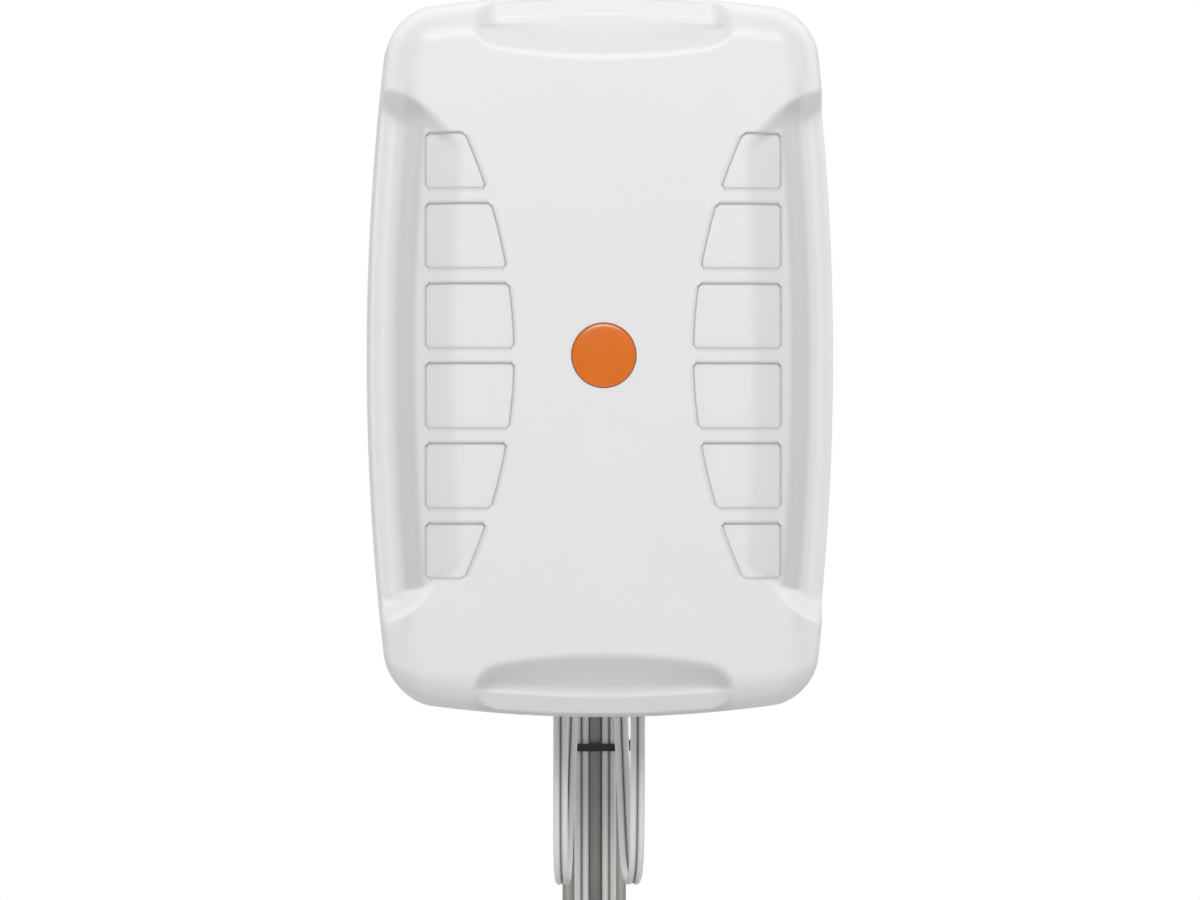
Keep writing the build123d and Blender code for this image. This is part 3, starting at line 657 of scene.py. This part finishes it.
@dataclass
class TwinCable:
    """One flat twin cable: a drip loop under its gland, a run up behind the radome and down the mast, a coil.

    Lengths are in millimetres, and places are those of the right side. The half-section shares say how much
    painted shade each point of half the section holds: most at the web, some on the outer side.
    """

    side: int
    material: bpy.types.Material
    strand: float = 4.35
    pitch: float = 4.55
    web: float = 0.9
    coil_y: float = -83.45
    coil_z: float = 258.575
    coil_inner: float = 32.55
    coil_outer: float = 61.05
    coil_turns: int = 7
    columns: tuple[float, float] = (8.6, 17.75)
    points_per_turn: int = 16
    crossing: float = 0.5
    run_y: float = -22.4
    tail_lead: float = 24.0
    tail_ends: tuple[float, float] = (200.0, 170.0)
    blend_length: float = 200.0
    facets: int = 10
    line_steps: int = 6
    edge_angle: float = 50.0
    painted_shade_half: tuple[float, ...] = (1.0, 0.3, 0.0, 0.0, 0.1, 0.4, 0.1, 0.0, 0.0, 0.3, 1.0)
    route: tuple[Point, ...] = (
        (23.4, -100.0, 454.0),
        (23.4, -100.0, 430.0),
        (23.4, -96.5, 398.0),
        (23.2, -92.0, 360.9),
        (22.0, -76.8, 345.7),
        (20.0, -55.2, 345.7),
        (18.8, -40.0, 360.9),
        (17.2, -37.4, 400.0),
        (15.44, -38.72, 444.0),
        (14.8, -43.5, 488.0),
        (14.2, -51.5, 534.0),
        (12.8, -59.5, 572.0),
        (12.0, -62.4, 596.3),
        (11.0, -50.7, 608.0),
        (9.8, -34.1, 608.0),
        (8.8, -22.4, 596.3),
        (8.6, -22.5, 572.0),
        (8.6, -22.4, 258.575),
    )

    @property
    def name(self) -> str:
        """The side that the cable is on, as in the CAD nodes' names."""
        return "left" if self.side < 0 else "right"

    def coil(self) -> list[Point]:
        """Places the coil's control points: in along the first column's turns, out along the second's.

        Returns:
            Points in millimetres, for the right side.
        """
        # a quadratic spline runs inside its control points by the cosine of half their spacing
        swell = 1 / math.cos(math.pi / self.points_per_turn)
        total = 2 * self.coil_turns * self.points_per_turn
        points = []
        for k in range(1, total + 1):
            turn = k / self.points_per_turn
            angle = -math.tau * turn
            depth = turn if turn <= self.coil_turns else 2 * self.coil_turns - turn
            radius = self.coil_outer - (self.coil_outer - self.coil_inner) * depth / self.coil_turns
            # the cable steps over to the second column in half a turn, round its innermost point
            step = min(max((turn - self.coil_turns + self.crossing / 2) / self.crossing, 0.0), 1.0)
            x = self.columns[0] + (self.columns[1] - self.columns[0]) * step
            y = self.coil_y + radius * swell * math.cos(angle)
            z = self.coil_z + radius * swell * math.sin(angle)
            points.append((x, y, z))
        return points

    def section(self) -> list[tuple[float, float]]:
        """Draws the twin's section: two round strands joined by a thin web.

        Returns:
            Points in metres, in order round it.
        """
        radius, middle = self.strand / 2, self.pitch / 2
        notch = math.asin(self.web / 2 / radius)
        arc = math.tau - 2 * notch
        angles = [math.pi - notch - i * arc / self.facets for i in range(self.facets + 1)]
        right = [(middle + radius * math.cos(a), radius * math.sin(a)) for a in angles]
        left = [(-x, -y) for x, y in right]
        return [(x * MM, y * MM) for x, y in right + left]

    def build(self, frame: dict) -> bpy.types.Object:
        """Args:
            frame: the loaded frame; not used.

        Returns:
            The cable.
        """
        tail_heights = (self.coil_z - self.tail_lead, *self.tail_ends)
        tail = [(self.columns[1], self.run_y, z) for z in tail_heights]
        points = [
            (self.side * x * MM, y * MM, z * MM) for x, y, z in [*self.route, *self.coil(), *tail]
        ]
        line = route_line(f"{self.name}_route", points, self.line_steps)
        section = self.section()
        item = sweep(f"{self.name}_twin_cable", line, section)
        smooth(item, self.edge_angle)
        paint(item, self.material)
        # painted shade: full at the web between the strands, some on their outer sides, none on their fronts
        # and backs
        painted_shade = item.data.attributes.new(PAINTED_SHADE_LAYER, "FLOAT", "POINT")
        painted_shade.data.foreach_set("value", np.tile(np.array(self.painted_shade_half * 2, np.float32), len(line)))
        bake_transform(item)
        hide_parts(*(f"{self.name}_cable_{part}" for part in ("loop", "run", "coil")))
        return item


@dataclass
class CableTail:
    """One single strand below the split boot, which carries a coaxial plug and its turning nut.

    Lengths are in millimetres. Tails 1 and 2 hang on the left and 3 and 4 on the right, the inner one first.
    """

    number: int
    material: bpy.types.Material
    strand: float = 4.6
    boot_x: float = 17.75
    boot_z: float = 150.0
    run_y: float = -22.4
    half_gap: float = 2.6
    inner_spread: float = 0.85
    sides: int = 20
    line_steps: int = 8
    edge_angle: float = 50.0
    steps: tuple[Point, ...] = (
        (0.0, 0.0, 2.0),
        (0.0, 0.0, -16.0),
        (4.4, -2.2, -37.0),
        (7.0, -3.8, -60.0),
        (6.8, -4.4, -80.0),
    )

    def build(self, frame: dict) -> bpy.types.Object:
        """Args:
            frame: the loaded frame; not used.

        Returns:
            The tail.
        """
        side = -1 if self.number < 3 else 1
        arm = 1 if self.number in (2, 4) else -1
        spread = 1.0 if arm > 0 else self.inner_spread
        points = []
        for dx, dy, dz in self.steps:
            x = side * (self.boot_x + arm * (self.half_gap + spread * dx))
            points.append((x * MM, (self.run_y + dy) * MM, (self.boot_z + dz) * MM))
        line = route_line(f"tail_route_{self.number}", points, self.line_steps)
        radius = self.strand / 2 * MM
        angles = [math.tau * k / self.sides for k in range(self.sides)]
        ring = [(radius * math.cos(angle), radius * math.sin(angle)) for angle in angles]
        item = sweep(f"tail_{self.number}", line, ring)
        smooth(item, self.edge_angle)
        paint(item, self.material)
        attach(item, "clamp")
        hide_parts(f"cable_tail_{self.number}")
        return item


# ---------------------------------------------------------------------------
# Radome
# ---------------------------------------------------------------------------


@dataclass
class Radome:
    """The moulded front shell: a bowed outline, rounded shoulders, two side scoops, end recesses and windows.

    Lengths are in millimetres, across u and up v from the shell's centre, and h forwards from the seam. The
    fields for the painted shade say how much of it goes on, and the slopes and distances at which it is full.
    column_counts are the grid's steps from the middle to the side, corner_lines the close lines beyond a
    window's wall, and the stages the shares of the shoulder and the side where a ring is extruded.
    """

    material: bpy.types.Material
    centre_z: float = CENTRE_Z
    seam_y: float = -116.0
    half_width: float = 140.5
    half_height: float = 216.0
    side_radius: float = 1565.0
    end_radius: float = 761.9
    corner: float = 25.7
    depth: float = 72.0
    draft: float = 2.5
    shoulder: float = 24.0
    ledge_shoulder: float = 9.0
    rim: float = 4.5
    skirt: float = 10.0
    wall: float = 3.0
    crest: float = 87.6
    scoop_knots: tuple[float, ...] = (0.0, 25.0, 38.5, 46.0, 60.0)
    scoop_depths: tuple[float, ...] = (0.0, 9.0, 31.0, 31.0, 31.0)
    scoop_soft: float = 3.0
    scoop_soft_steps: int = 9
    scoop_share_from: float = 10.0
    scoop_share_run: float = 20.0
    scoop_reach: float = 43.0
    scoop_top: float = 161.0
    scoop_turn: float = 18.0
    scoop_ramp: float = 7.0
    scoop_ramp_growth: float = 0.35
    recess_half: float = 80.0
    recess_start: float = 171.3
    recess_bow: float = 7.4
    recess_bow_half: float = 70.0
    recess_depth: float = 10.5
    recess_round: float = 20.0
    recess_soft: float = 3.0
    recess_soft_steps: int = 7
    recess_edge: float = 8.5
    groove: float = 19.0
    lip: float = 15.0
    lip_drop: float = 10.5
    lip_fall: float = 0.3
    pocket: float = 2.5
    pocket_wall: float = 0.9
    pocket_round: float = 1.4
    pocket_slack: float = 0.05
    # painted shade: darkening on faces that look down, the scoops' steep walls, the recess's groove and
    # window edges
    painted_shade_step: float = 0.4
    painted_shade_down: float = 0.22
    painted_shade_recess: float = 0.6
    painted_shade_down_slope: float = 0.5
    painted_shade_wall: float = 0.85
    painted_shade_wall_slope: float = 1.3
    painted_shade_lit_slope: float = 0.6
    painted_shade_end_loss: float = 0.5
    painted_shade_end_slope: float = 0.8
    painted_shade_wall_from: float = 14.0
    painted_shade_wall_run: float = 6.0
    painted_shade_groove: float = 0.3
    painted_shade_groove_width: float = 1.6
    painted_shade_edge: float = 0.55
    column_counts: tuple[int, ...] = (26, 1, 1, 1, 1, 14, 1, 1, 1, 1, 27)
    corner_lines: tuple[float, ...] = (0.0, 0.6, 1.3, 2.2)
    row_pitch: float = 1.9
    end_row_pitch: float = 1.15
    end_rows_from: float = 140.0
    gather_u: float = 60.0
    gather_v: float = 130.0
    corner_guess: tuple[float, float] = (117.0, 196.0)
    corner_rounds: int = 40
    rim_search: tuple[float, float] = (20.0, 220.0)
    rim_halvings: int = 50
    spread_from: float = 0.78
    spread_run: float = 0.22
    shoulder_stages: tuple[float, ...] = (0.3, 0.65)
    side_stages: tuple[float, ...] = (1.0, 0.66, 0.33, 0.0)
    edge_angle: float = 32.0
    windows: tuple[tuple[float, float], ...] = (
        (-131.2, -98.0),
        (-90.1, -50.9),
        (-43.2, -3.9),
        (3.8, 42.8),
        (50.8, 89.8),
        (97.7, 131.2),
    )
    window_outer: float = 104.8
    window_middle: float = 52.2
    window_arc: float = 29.4
    window_arc_half: float = 131.5

    def inside(self, u: np.ndarray, v: np.ndarray) -> np.ndarray:
        """Measures how far inside the outline a point is.

        Args:
            u: distances across.
            v: distances up.

        Returns:
            Distances inwards from the outline, below zero outside it.
        """
        side = self.side_radius - np.hypot(np.abs(u) + self.side_radius - self.half_width, v)
        end = self.end_radius - np.hypot(u, np.abs(v) + self.end_radius - self.half_height)
        a, b = np.maximum(self.corner - side, 0), np.maximum(self.corner - end, 0)
        return np.where((a > 0) & (b > 0), self.corner - np.hypot(a, b), np.minimum(side, end))

    def outward(self, u: np.ndarray, v: np.ndarray) -> tuple[np.ndarray, np.ndarray]:
        """Works out the outline's outward direction at each point.

        Args:
            u: distances across.
            v: distances up.

        Returns:
            The direction's two parts, across and up.
        """
        small = 0.01
        gu = self.inside(u - small, v) - self.inside(u + small, v)
        gv = self.inside(u, v - small) - self.inside(u, v + small)
        size = np.maximum(np.hypot(gu, gv), TINY)
        return gu / size, gv / size

    def window_inner(self, v: np.ndarray) -> np.ndarray:
        """Returns how far from the middle the windows' inner edge is, at each height."""
        reach = np.clip(np.abs(v), 0, self.windows[-1][1]) / self.window_arc_half
        return self.window_middle + self.window_arc * reach**2

    def scooped(self, u: np.ndarray, v: np.ndarray) -> tuple[np.ndarray, np.ndarray]:
        """Works out the side scoop: a gentle fall from its crest, a steep wall, a valley and a low lip.

        Args:
            u: distances across.
            v: distances up.

        Returns:
            The scoop's depth at each point, and how far each point is into the scoop, from 0 to 1.
        """
        bow = self.side_radius - np.sqrt(self.side_radius**2 - v**2)
        reach = np.abs(u) - self.crest + bow
        soft = np.linspace(-self.scoop_soft, self.scoop_soft, self.scoop_soft_steps)
        depth = sum(np.interp(reach + o, self.scoop_knots, self.scoop_depths) for o in soft) / len(soft)
        # the scoop's end runs slantwise, then turns level near the outline
        slant = (np.abs(u) - np.abs(v) + self.scoop_reach) / math.sqrt(2)
        level = self.scoop_top - np.abs(v)
        a, b = np.maximum(self.scoop_turn - slant, 0), np.maximum(self.scoop_turn - level, 0)
        end = np.where((a > 0) & (b > 0), self.scoop_turn - np.hypot(a, b), np.minimum(slant, level))
        ramp = ease(end / (self.scoop_ramp + self.scoop_ramp_growth * depth))
        return depth * ramp, ramp * ease((reach - self.scoop_share_from) / self.scoop_share_run)

    def recessed(self, u: np.ndarray, v: np.ndarray, d: np.ndarray) -> np.ndarray:
        """Works out the end recess: an even fall to a groove, then a low lip.

        Args:
            u: distances across.
            v: distances up.
            d: distances inside the outline.

        Returns:
            The recess's depth at each point.
        """
        across = np.minimum(np.abs(u), self.recess_half) / self.recess_bow_half
        start = self.recess_start + self.recess_bow * across**2
        end = np.abs(v) + d - self.groove
        a, b = self.recess_half - np.abs(u), np.abs(v) - start
        ra, rb = np.maximum(self.recess_round - a, 0), np.maximum(self.recess_round - b, 0)
        within = np.where((ra > 0) & (rb > 0), self.recess_round - np.hypot(ra, rb), np.minimum(a, b))
        soft = np.linspace(-self.recess_soft, self.recess_soft, self.recess_soft_steps)
        run = np.maximum(end - start, 1.0)
        fall = sum(np.clip((np.abs(v) + o - start) / run, 0, 1) for o in soft)
        slope = self.recess_depth * fall / len(soft)
        lip = ease((d - self.lip) / (self.groove - self.lip))
        edge_floor = self.lip_drop + self.lip_fall * np.maximum(self.lip - d, 0)
        floor = edge_floor + (slope - edge_floor) * np.where(d < self.groove, lip, 1.0)
        edge = np.clip(within, 0, None)
        return floor * (1 - np.exp(-((edge / self.recess_edge) ** 2)))

    def front(self, u: np.ndarray, v: np.ndarray) -> tuple[np.ndarray, np.ndarray, np.ndarray]:
        """Works out the shell's front.

        Args:
            u: distances across.
            v: distances up.

        Returns:
            Height in front of the seam, the local ceiling before the shoulder, and the shoulder's radius.
        """
        d = self.inside(u, v)
        depth, share = self.scooped(u, v)
        ceiling = self.depth - depth
        radius = self.shoulder - (self.shoulder - self.ledge_shoulder) * share
        q = np.clip((radius + self.draft - d) / radius, 0, 1)
        h = ceiling - radius * (1 - np.sqrt(1 - q * q))
        return np.minimum(h, self.depth - self.recessed(u, v, d)), ceiling, radius

    def painted_shade(self, u: np.ndarray, v: np.ndarray, floor: np.ndarray) -> np.ndarray:
        """Says how much painted shade goes on: faces that look down, steep inner walls, the recess's groove
        and window edges.

        Args:
            u: distances across.
            v: distances up.
            floor: which points are on a window's floor.

        Returns:
            The film's share at each point, from 0 to 1.
        """
        step, d = self.painted_shade_step, self.inside(u, v)
        across = (self.front(u + step, v)[0] - self.front(u - step, v)[0]) / (2 * step)
        up = (self.front(u, v + step)[0] - self.front(u, v - step)[0]) / (2 * step)
        # faces that look down, beyond the scoops: more inside the recess
        at_end = np.abs(v) > self.recess_start
        within = ease((self.recess_half - np.abs(u)) / self.recess_edge) * at_end
        share = self.painted_shade_down + (self.painted_shade_recess - self.painted_shade_down) * within
        down = share * ease(up / self.painted_shade_down_slope) * (np.abs(v) > self.scoop_top)
        # the scoops' steep inner walls, less where they look up and at their top ends
        steep = ease(np.abs(across) / self.painted_shade_wall_slope) * (1 - ease(-up / self.painted_shade_lit_slope))
        steep = steep * (1 - self.painted_shade_end_loss * ease(up / self.painted_shade_end_slope))
        steep *= np.abs(v) < self.scoop_top
        wall = self.painted_shade_wall * steep * ease((d - self.painted_shade_wall_from) / self.painted_shade_wall_run)
        # the recess's groove
        ends = (np.abs(u) < self.recess_half - self.recess_edge) & at_end
        groove = self.painted_shade_groove * np.exp(-(((d - self.groove) / self.painted_shade_groove_width) ** 2)) * ends
        # the points on both sides of a window's edge
        by_row, by_column = floor[1:, :] ^ floor[:-1, :], floor[:, 1:] ^ floor[:, :-1]
        edge = np.zeros(floor.shape, bool)
        edge[1:, :] |= by_row
        edge[:-1, :] |= by_row
        edge[:, 1:] |= by_column
        edge[:, :-1] |= by_column
        return np.maximum.reduce([down, wall, groove, np.where(edge, self.painted_shade_edge, 0.0)])

    def in_window(self, u: np.ndarray, v: np.ndarray) -> np.ndarray:
        """Says which points are on a window's floor, inside its rounded corners.

        Args:
            u: distances across.
            v: distances up.

        Returns:
            True or false for each point.
        """
        hit = np.zeros(u.shape, bool)
        wall, turn = self.pocket_wall - self.pocket_slack, self.pocket_round
        side = np.minimum(np.abs(u) - self.window_inner(v), self.window_outer - np.abs(u)) - wall
        for low, high in self.windows:
            end = np.minimum(v - low, high - v) - wall
            corner = (side < turn) & (end < turn)
            hit |= (side > 0) & (end > 0) & (~corner | (np.hypot(turn - side, turn - end) < turn))
        return hit

    def columns(self, v: np.ndarray) -> np.ndarray:
        """Places the grid's columns at each row, with close lines along the windows' edges.

        Args:
            v: the rows' heights.

        Returns:
            Distances across, one row for each height.
        """
        inner = self.window_inner(v)
        one = np.ones_like(v)
        outer, side = self.window_outer * one, self.half_width * one
        turns = [self.pocket_wall + t for t in self.corner_lines]
        knots = [0 * one, inner, *(inner + t for t in turns), *(outer - t for t in turns[::-1]), outer, side]
        lines = []
        for a, b, n in zip(knots, knots[1:], self.column_counts):
            lines += [a + (b - a) * i / n for i in range(n)]
        right = np.stack([*lines, side], axis=1)
        return np.concatenate([-right[:, :0:-1], right], axis=1)

    def rows(self) -> np.ndarray:
        """Places the grid's rows, with close lines along the windows' edges.

        Returns:
            The rows' heights.
        """
        knots = [-self.half_height]
        turns = [0.0, *(self.pocket_wall + t for t in self.corner_lines)]
        for low, high in self.windows:
            knots += [low + t for t in turns] + [high - t for t in turns[::-1]]
        knots.append(self.half_height)
        lines = []
        for a, b in zip(knots, knots[1:]):
            at_end = abs(a) > self.end_rows_from or abs(b) > self.end_rows_from
            n = max(1, round((b - a) / (self.end_row_pitch if at_end else self.row_pitch)))
            lines += [a + (b - a) * i / n for i in range(n)]
        return np.array([*lines, knots[-1]])

    def solve(self, fixed: np.ndarray, across: bool) -> np.ndarray:
        """Finds where the rim line is, by halving.

        Args:
            fixed: the known coordinate of each point.
            across: whether u is looked for, and v is known.

        Returns:
            The other coordinate, on the positive side.
        """
        low, high = (np.full_like(fixed, limit) for limit in self.rim_search)
        for _ in range(self.rim_halvings):
            middle = (low + high) / 2
            d = self.inside(middle, fixed) if across else self.inside(fixed, middle)
            low, high = np.where(d > self.rim, middle, low), np.where(d > self.rim, high, middle)
        return (low + high) / 2

    def spread(self, u: np.ndarray, v: np.ndarray) -> tuple[np.ndarray, np.ndarray]:
        """Moves a rectangular grid's outer lines on to the bowed outline.

        Args:
            u: distances across on the rectangle.
            v: distances up on the rectangle.

        Returns:
            The same points, with the rectangle's edge on the rim line.
        """
        # the middle of the rim's corner arc, found by turns from a first guess
        turn = self.corner - (self.corner - self.rim) / math.sqrt(2)
        cu, cv = self.corner_guess
        for _ in range(self.corner_rounds):
            cu = math.sqrt((self.side_radius - turn) ** 2 - cv**2) - self.side_radius + self.half_width
            cv = math.sqrt((self.end_radius - turn) ** 2 - cu**2) - self.end_radius + self.half_height
        a, b = np.abs(u) / self.half_width, np.abs(v) / self.half_height
        m = np.maximum(np.maximum(a, b), TINY)
        bu, bv = np.abs(u) / m, np.abs(v) / m
        pull_u = np.clip((bu - self.gather_u) / (self.half_width - self.gather_u), 0, 1) ** 2
        pull_v = np.clip((bv - self.gather_v) / (self.half_height - self.gather_v), 0, 1) ** 2
        gather_u, gather_v = bu - (self.half_width - cu) * pull_u, bv - (self.half_height - cv) * pull_v
        on_side = a >= b
        tu = np.where(on_side, self.solve(np.minimum(gather_v, cv), True), gather_u)
        tv = np.where(on_side, gather_v, self.solve(np.minimum(gather_u, cu), False))
        share = np.clip((m - self.spread_from) / self.spread_run, 0, 1)
        return np.sign(u) * (np.abs(u) + share * (tu - bu)), np.sign(v) * (np.abs(v) + share * (tv - bv))

    def build(self) -> bpy.types.Object:
        """Builds the shell: a warped grid for the front, an extruded wall and skirt, and a solid wall.

        Returns:
            The radome.
        """
        v_lines = self.rows()
        u_grid = self.columns(v_lines)
        v_grid = np.repeat(v_lines[:, None], u_grid.shape[1], axis=1)
        u, v = self.spread(u_grid, v_grid)
        floor = self.in_window(u_grid, v_grid)
        h = self.front(u, v)[0] - self.pocket * floor
        deselect()
        bpy.ops.mesh.primitive_grid_add(
            x_subdivisions=u.shape[1] - 1, y_subdivisions=u.shape[0] - 1, size=1.0
        )
        item = name_new("radome_shell")
        assert len(item.data.vertices) == u.size, (len(item.data.vertices), u.shape)
        place = np.stack([u, self.seam_y - h, v + self.centre_z], axis=-1).reshape(-1, 3) * MM
        item.data.vertices.foreach_set("co", place.astype(np.float32).ravel())
        item.data.update()
        # painted shade, held in the piece's attribute and read by its material
        painted_shade = item.data.attributes.new(PAINTED_SHADE_LAYER, "FLOAT", "POINT")
        painted_shade.data.foreach_set("value", self.painted_shade(u, v, floor).astype(np.float32).ravel())
        self.extrude_wall(item)
        solid = item.modifiers.new("wall", "SOLIDIFY")
        solid.thickness = self.wall * MM
        solid.offset = -1.0
        apply_all(item)
        smooth(item, self.edge_angle)
        paint(item, self.material)
        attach(item, "antenna")
        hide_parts("front_radome")
        return item

    def extrude_wall(self, item: bpy.types.Object) -> None:
        """Extrudes the rim back over the shoulder, down the drafted side and along the skirt.

        Args:
            item: the shell, which is only its front so far.
        """
        activate(item)
        bpy.ops.object.mode_set(mode="EDIT")
        bpy.ops.mesh.select_mode(type="EDGE")
        bpy.ops.mesh.select_all(action="DESELECT")
        bpy.ops.mesh.select_non_manifold(
            extend=False, use_wire=False, use_multi_face=False, use_non_contiguous=False, use_verts=False
        )
        for stage in range(len(self.shoulder_stages) + len(self.side_stages) + 1):
            bpy.ops.mesh.extrude_region_move(TRANSFORM_OT_translate={"value": (0, 0, 0)})
            mesh = bmesh.from_edit_mesh(item.data)
            loop = [vert for vert in mesh.verts if vert.select]
            co = np.array([vert.co for vert in loop]) / MM
            u, v = co[:, 0], co[:, 2] - self.centre_z
            d = self.inside(u, v)
            nu, nv = self.outward(u, v)
            rim_u, rim_v = u + nu * (d - self.rim), v + nv * (d - self.rim)
            top, ceiling, radius = self.front(rim_u, rim_v)
            bottom = ceiling - radius
            heights = [
                *(top - (top - bottom) * share for share in self.shoulder_stages),
                *(bottom * share for share in self.side_stages),
                np.full_like(bottom, -self.skirt),
            ]
            h = heights[stage]
            arc = self.draft + radius - np.sqrt(np.maximum(radius**2 - np.maximum(h - bottom, 0) ** 2, 0))
            target = np.where(h > bottom, arc, self.draft * np.clip(h / bottom, 0, 1))
            new_u, new_v = u + nu * (d - target), v + nv * (d - target)
            for vert, x, z, y in zip(loop, new_u, new_v, h):
                vert.co = (x * MM, (self.seam_y - y) * MM, (z + self.centre_z) * MM)
            bmesh.update_edit_mesh(item.data)
        bpy.ops.mesh.select_all(action="SELECT")
        bpy.ops.mesh.normals_make_consistent(inside=False)
        bpy.ops.object.mode_set(mode="OBJECT")
        # an open shell has no inside, so the way that the front's faces look settles it
        if sum(p.normal.y * p.area for p in item.data.polygons) > 0:
            item.data.flip_normals()


@dataclass
class Badge:
    """The domed disc at the middle of the radome, with a thin darker rim and nothing written on it.

    Lengths are in millimetres. The dome's points are a radius and the drop from the top.
    """

    face: bpy.types.Material
    rim: bpy.types.Material
    radius: float = 19.4
    base_y: float = -186.9
    top_y: float = -189.5
    rim_start: float = 18.8
    sides: int = 96
    edge_angle: float = 40.0
    dome: tuple[tuple[float, float], ...] = (
        (5.0, 0.02),
        (10.0, 0.08),
        (14.0, 0.16),
        (16.6, 0.26),
        (17.8, 0.4),
        (18.6, 0.66),
        (19.1, 1.1),
        (19.4, 1.7),
    )

    def build(self) -> bpy.types.Object:
        """Builds the disc.

        Returns:
            The badge.
        """
        centre = (0.0, 0.0, CENTRE_Z * MM)
        profile = [(0.0, self.top_y), *((r, self.top_y + drop) for r, drop in self.dome)]
        profile += [(self.radius, self.base_y), (0.0, self.base_y)]
        points = [(r * MM, y * MM, centre[2]) for r, y in profile]
        item = lathe("badge_dome", points, centre, (0, 1, 0), self.sides)
        smooth(item, self.edge_angle)
        paint(item, self.face)
        item.data.materials.append(self.rim)
        for face in item.data.polygons:
            middle = face.center
            if math.hypot(middle.x, middle.z - centre[2]) > self.rim_start * MM:
                face.material_index = 1
        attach(item, "antenna")
        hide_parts("badge_disc")
        return item


# ---------------------------------------------------------------------------
# Studio
# ---------------------------------------------------------------------------


@dataclass
class Studio:
    """A pale floor, one soft white light above and in front, and a level camera in front, a little left.

    Lengths are in metres. The room's brightness goes by how far a direction points along +Y, from -1 to 1.
    """

    distance: float = 2.6
    height: float = 0.6105
    bearing: float = 1.8
    target_y: float = -0.116
    lens: float = 129.4
    sensor: float = 36.0
    floor_size: float = 5.8
    floor_drop: float = 0.0005
    front_fill: float = 0.36
    side_fill: float = 2.5
    back_share: float = 0.2
    rise_from: float = -0.1
    rise_to: float = 0.35
    drop_from: float = 0.4
    drop_to: float = 0.75
    key_watts: float = 64.0
    key_size: float = 1.3
    key_place: Point = (0.0, -3.0, 2.25)
    key_aim: Point = (0.0, -0.1, 0.64)

    def floor(self) -> None:
        """Lays the floor just under the mast's foot."""
        deselect()
        bpy.ops.mesh.primitive_plane_add(size=self.floor_size, location=(0, 0, -self.floor_drop))
        item = name_new("floor")
        settle(item)
        paint(item, FLOOR_PALE.build())

    def room(self) -> None:
        """Lights the room, brightest beside and a little behind the antenna, and white where it is seen."""
        world = bpy.data.worlds.new("studio")
        world.use_nodes = True
        tree = world.node_tree
        tree.nodes.clear()
        facing = add(tree, "SeparateXYZ", {0: add(tree, "TexCoord").outputs["Generated"]}).outputs["Y"]
        spans = (
            (self.rise_from, self.rise_to, self.front_fill, self.side_fill),
            (self.drop_from, self.drop_to, 1.0, self.back_share),
        )
        rise, drop = (
            add(
                tree,
                "MapRange",
                {"Value": facing, "From Min": low, "From Max": high, "To Min": first, "To Max": last},
                interpolation_type="SMOOTHSTEP",
            ).outputs["Result"]
            for low, high, first, last in spans
        )
        level = add(tree, "Math", {0: rise, 1: drop}, operation="MULTIPLY").outputs[0]
        unseen = add(tree, "Background", {"Color": (1, 1, 1, 1), "Strength": level})
        seen = add(tree, "Background", {"Color": (1, 1, 1, 1), "Strength": 1.0})
        ray = add(tree, "LightPath").outputs["Is Camera Ray"]
        both = add(tree, "MixShader", {0: ray, 1: unseen.outputs[0], 2: seen.outputs[0]})
        add(tree, "OutputWorld", {"Surface": both.outputs[0]})
        bpy.context.scene.world = world

    def key_light(self) -> None:
        """Hangs one soft square light above and in front of the antenna."""
        data = bpy.data.lights.new("key", "AREA")
        data.shape = "SQUARE"
        data.size = self.key_size
        data.energy = self.key_watts
        item = bpy.data.objects.new("key", data)
        bpy.context.scene.collection.objects.link(item)
        item.location = self.key_place
        aim = Vector(self.key_aim) - Vector(self.key_place)
        item.rotation_euler = aim.to_track_quat("-Z", "Y").to_euler()

    def camera(self) -> None:
        """Places the camera level with a point a little under the radome's centre."""
        turn = math.radians(self.bearing)
        data = bpy.data.cameras.new("camera")
        data.lens = self.lens
        data.sensor_width = self.sensor
        item = bpy.data.objects.new("camera", data)
        bpy.context.scene.collection.objects.link(item)
        item.location = (
            -self.distance * math.sin(turn),
            self.target_y - self.distance * math.cos(turn),
            self.height,
        )
        item.rotation_euler = (math.radians(90), 0, -turn)
        bpy.context.scene.camera = item

    def build(self) -> None:
        """Builds the floor, the room, the light and the camera."""
        self.floor()
        self.room()
        self.key_light()
        bpy.context.scene.view_settings.view_transform = "Standard"
        self.camera()


def main() -> None:
    """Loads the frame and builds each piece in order."""
    logging.basicConfig(level=logging.INFO, format="%(name)s: %(message)s")
    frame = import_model()
    Studio().build()
    materials = {finish.name: finish.build() for finish in ALL_FINISHES}
    for side in (-1, 1):
        cable = TwinCable(side, materials[CABLE_GREY.name]).build(frame)
        log.info("%s: %d faces", cable.name, len(cable.data.polygons))
    for number in (1, 2, 3, 4):
        tail = CableTail(number, materials[CABLE_GREY.name]).build(frame)
        log.info("%s: %d faces", tail.name, len(tail.data.polygons))
    shell = Radome(materials[RADOME_WHITE.name]).build()
    log.info("%s: %d faces", shell.name, len(shell.data.polygons))
    badge = Badge(materials[BADGE_ORANGE.name], materials[BADGE_RIM.name]).build()
    log.info("%s: %d faces", badge.name, len(badge.data.polygons))
    for finish, nodes in NODE_FINISHES.items():
        for node in nodes:
            paint(frame["nodes"][node], materials[finish])


if __name__ == "__main__":
    main()
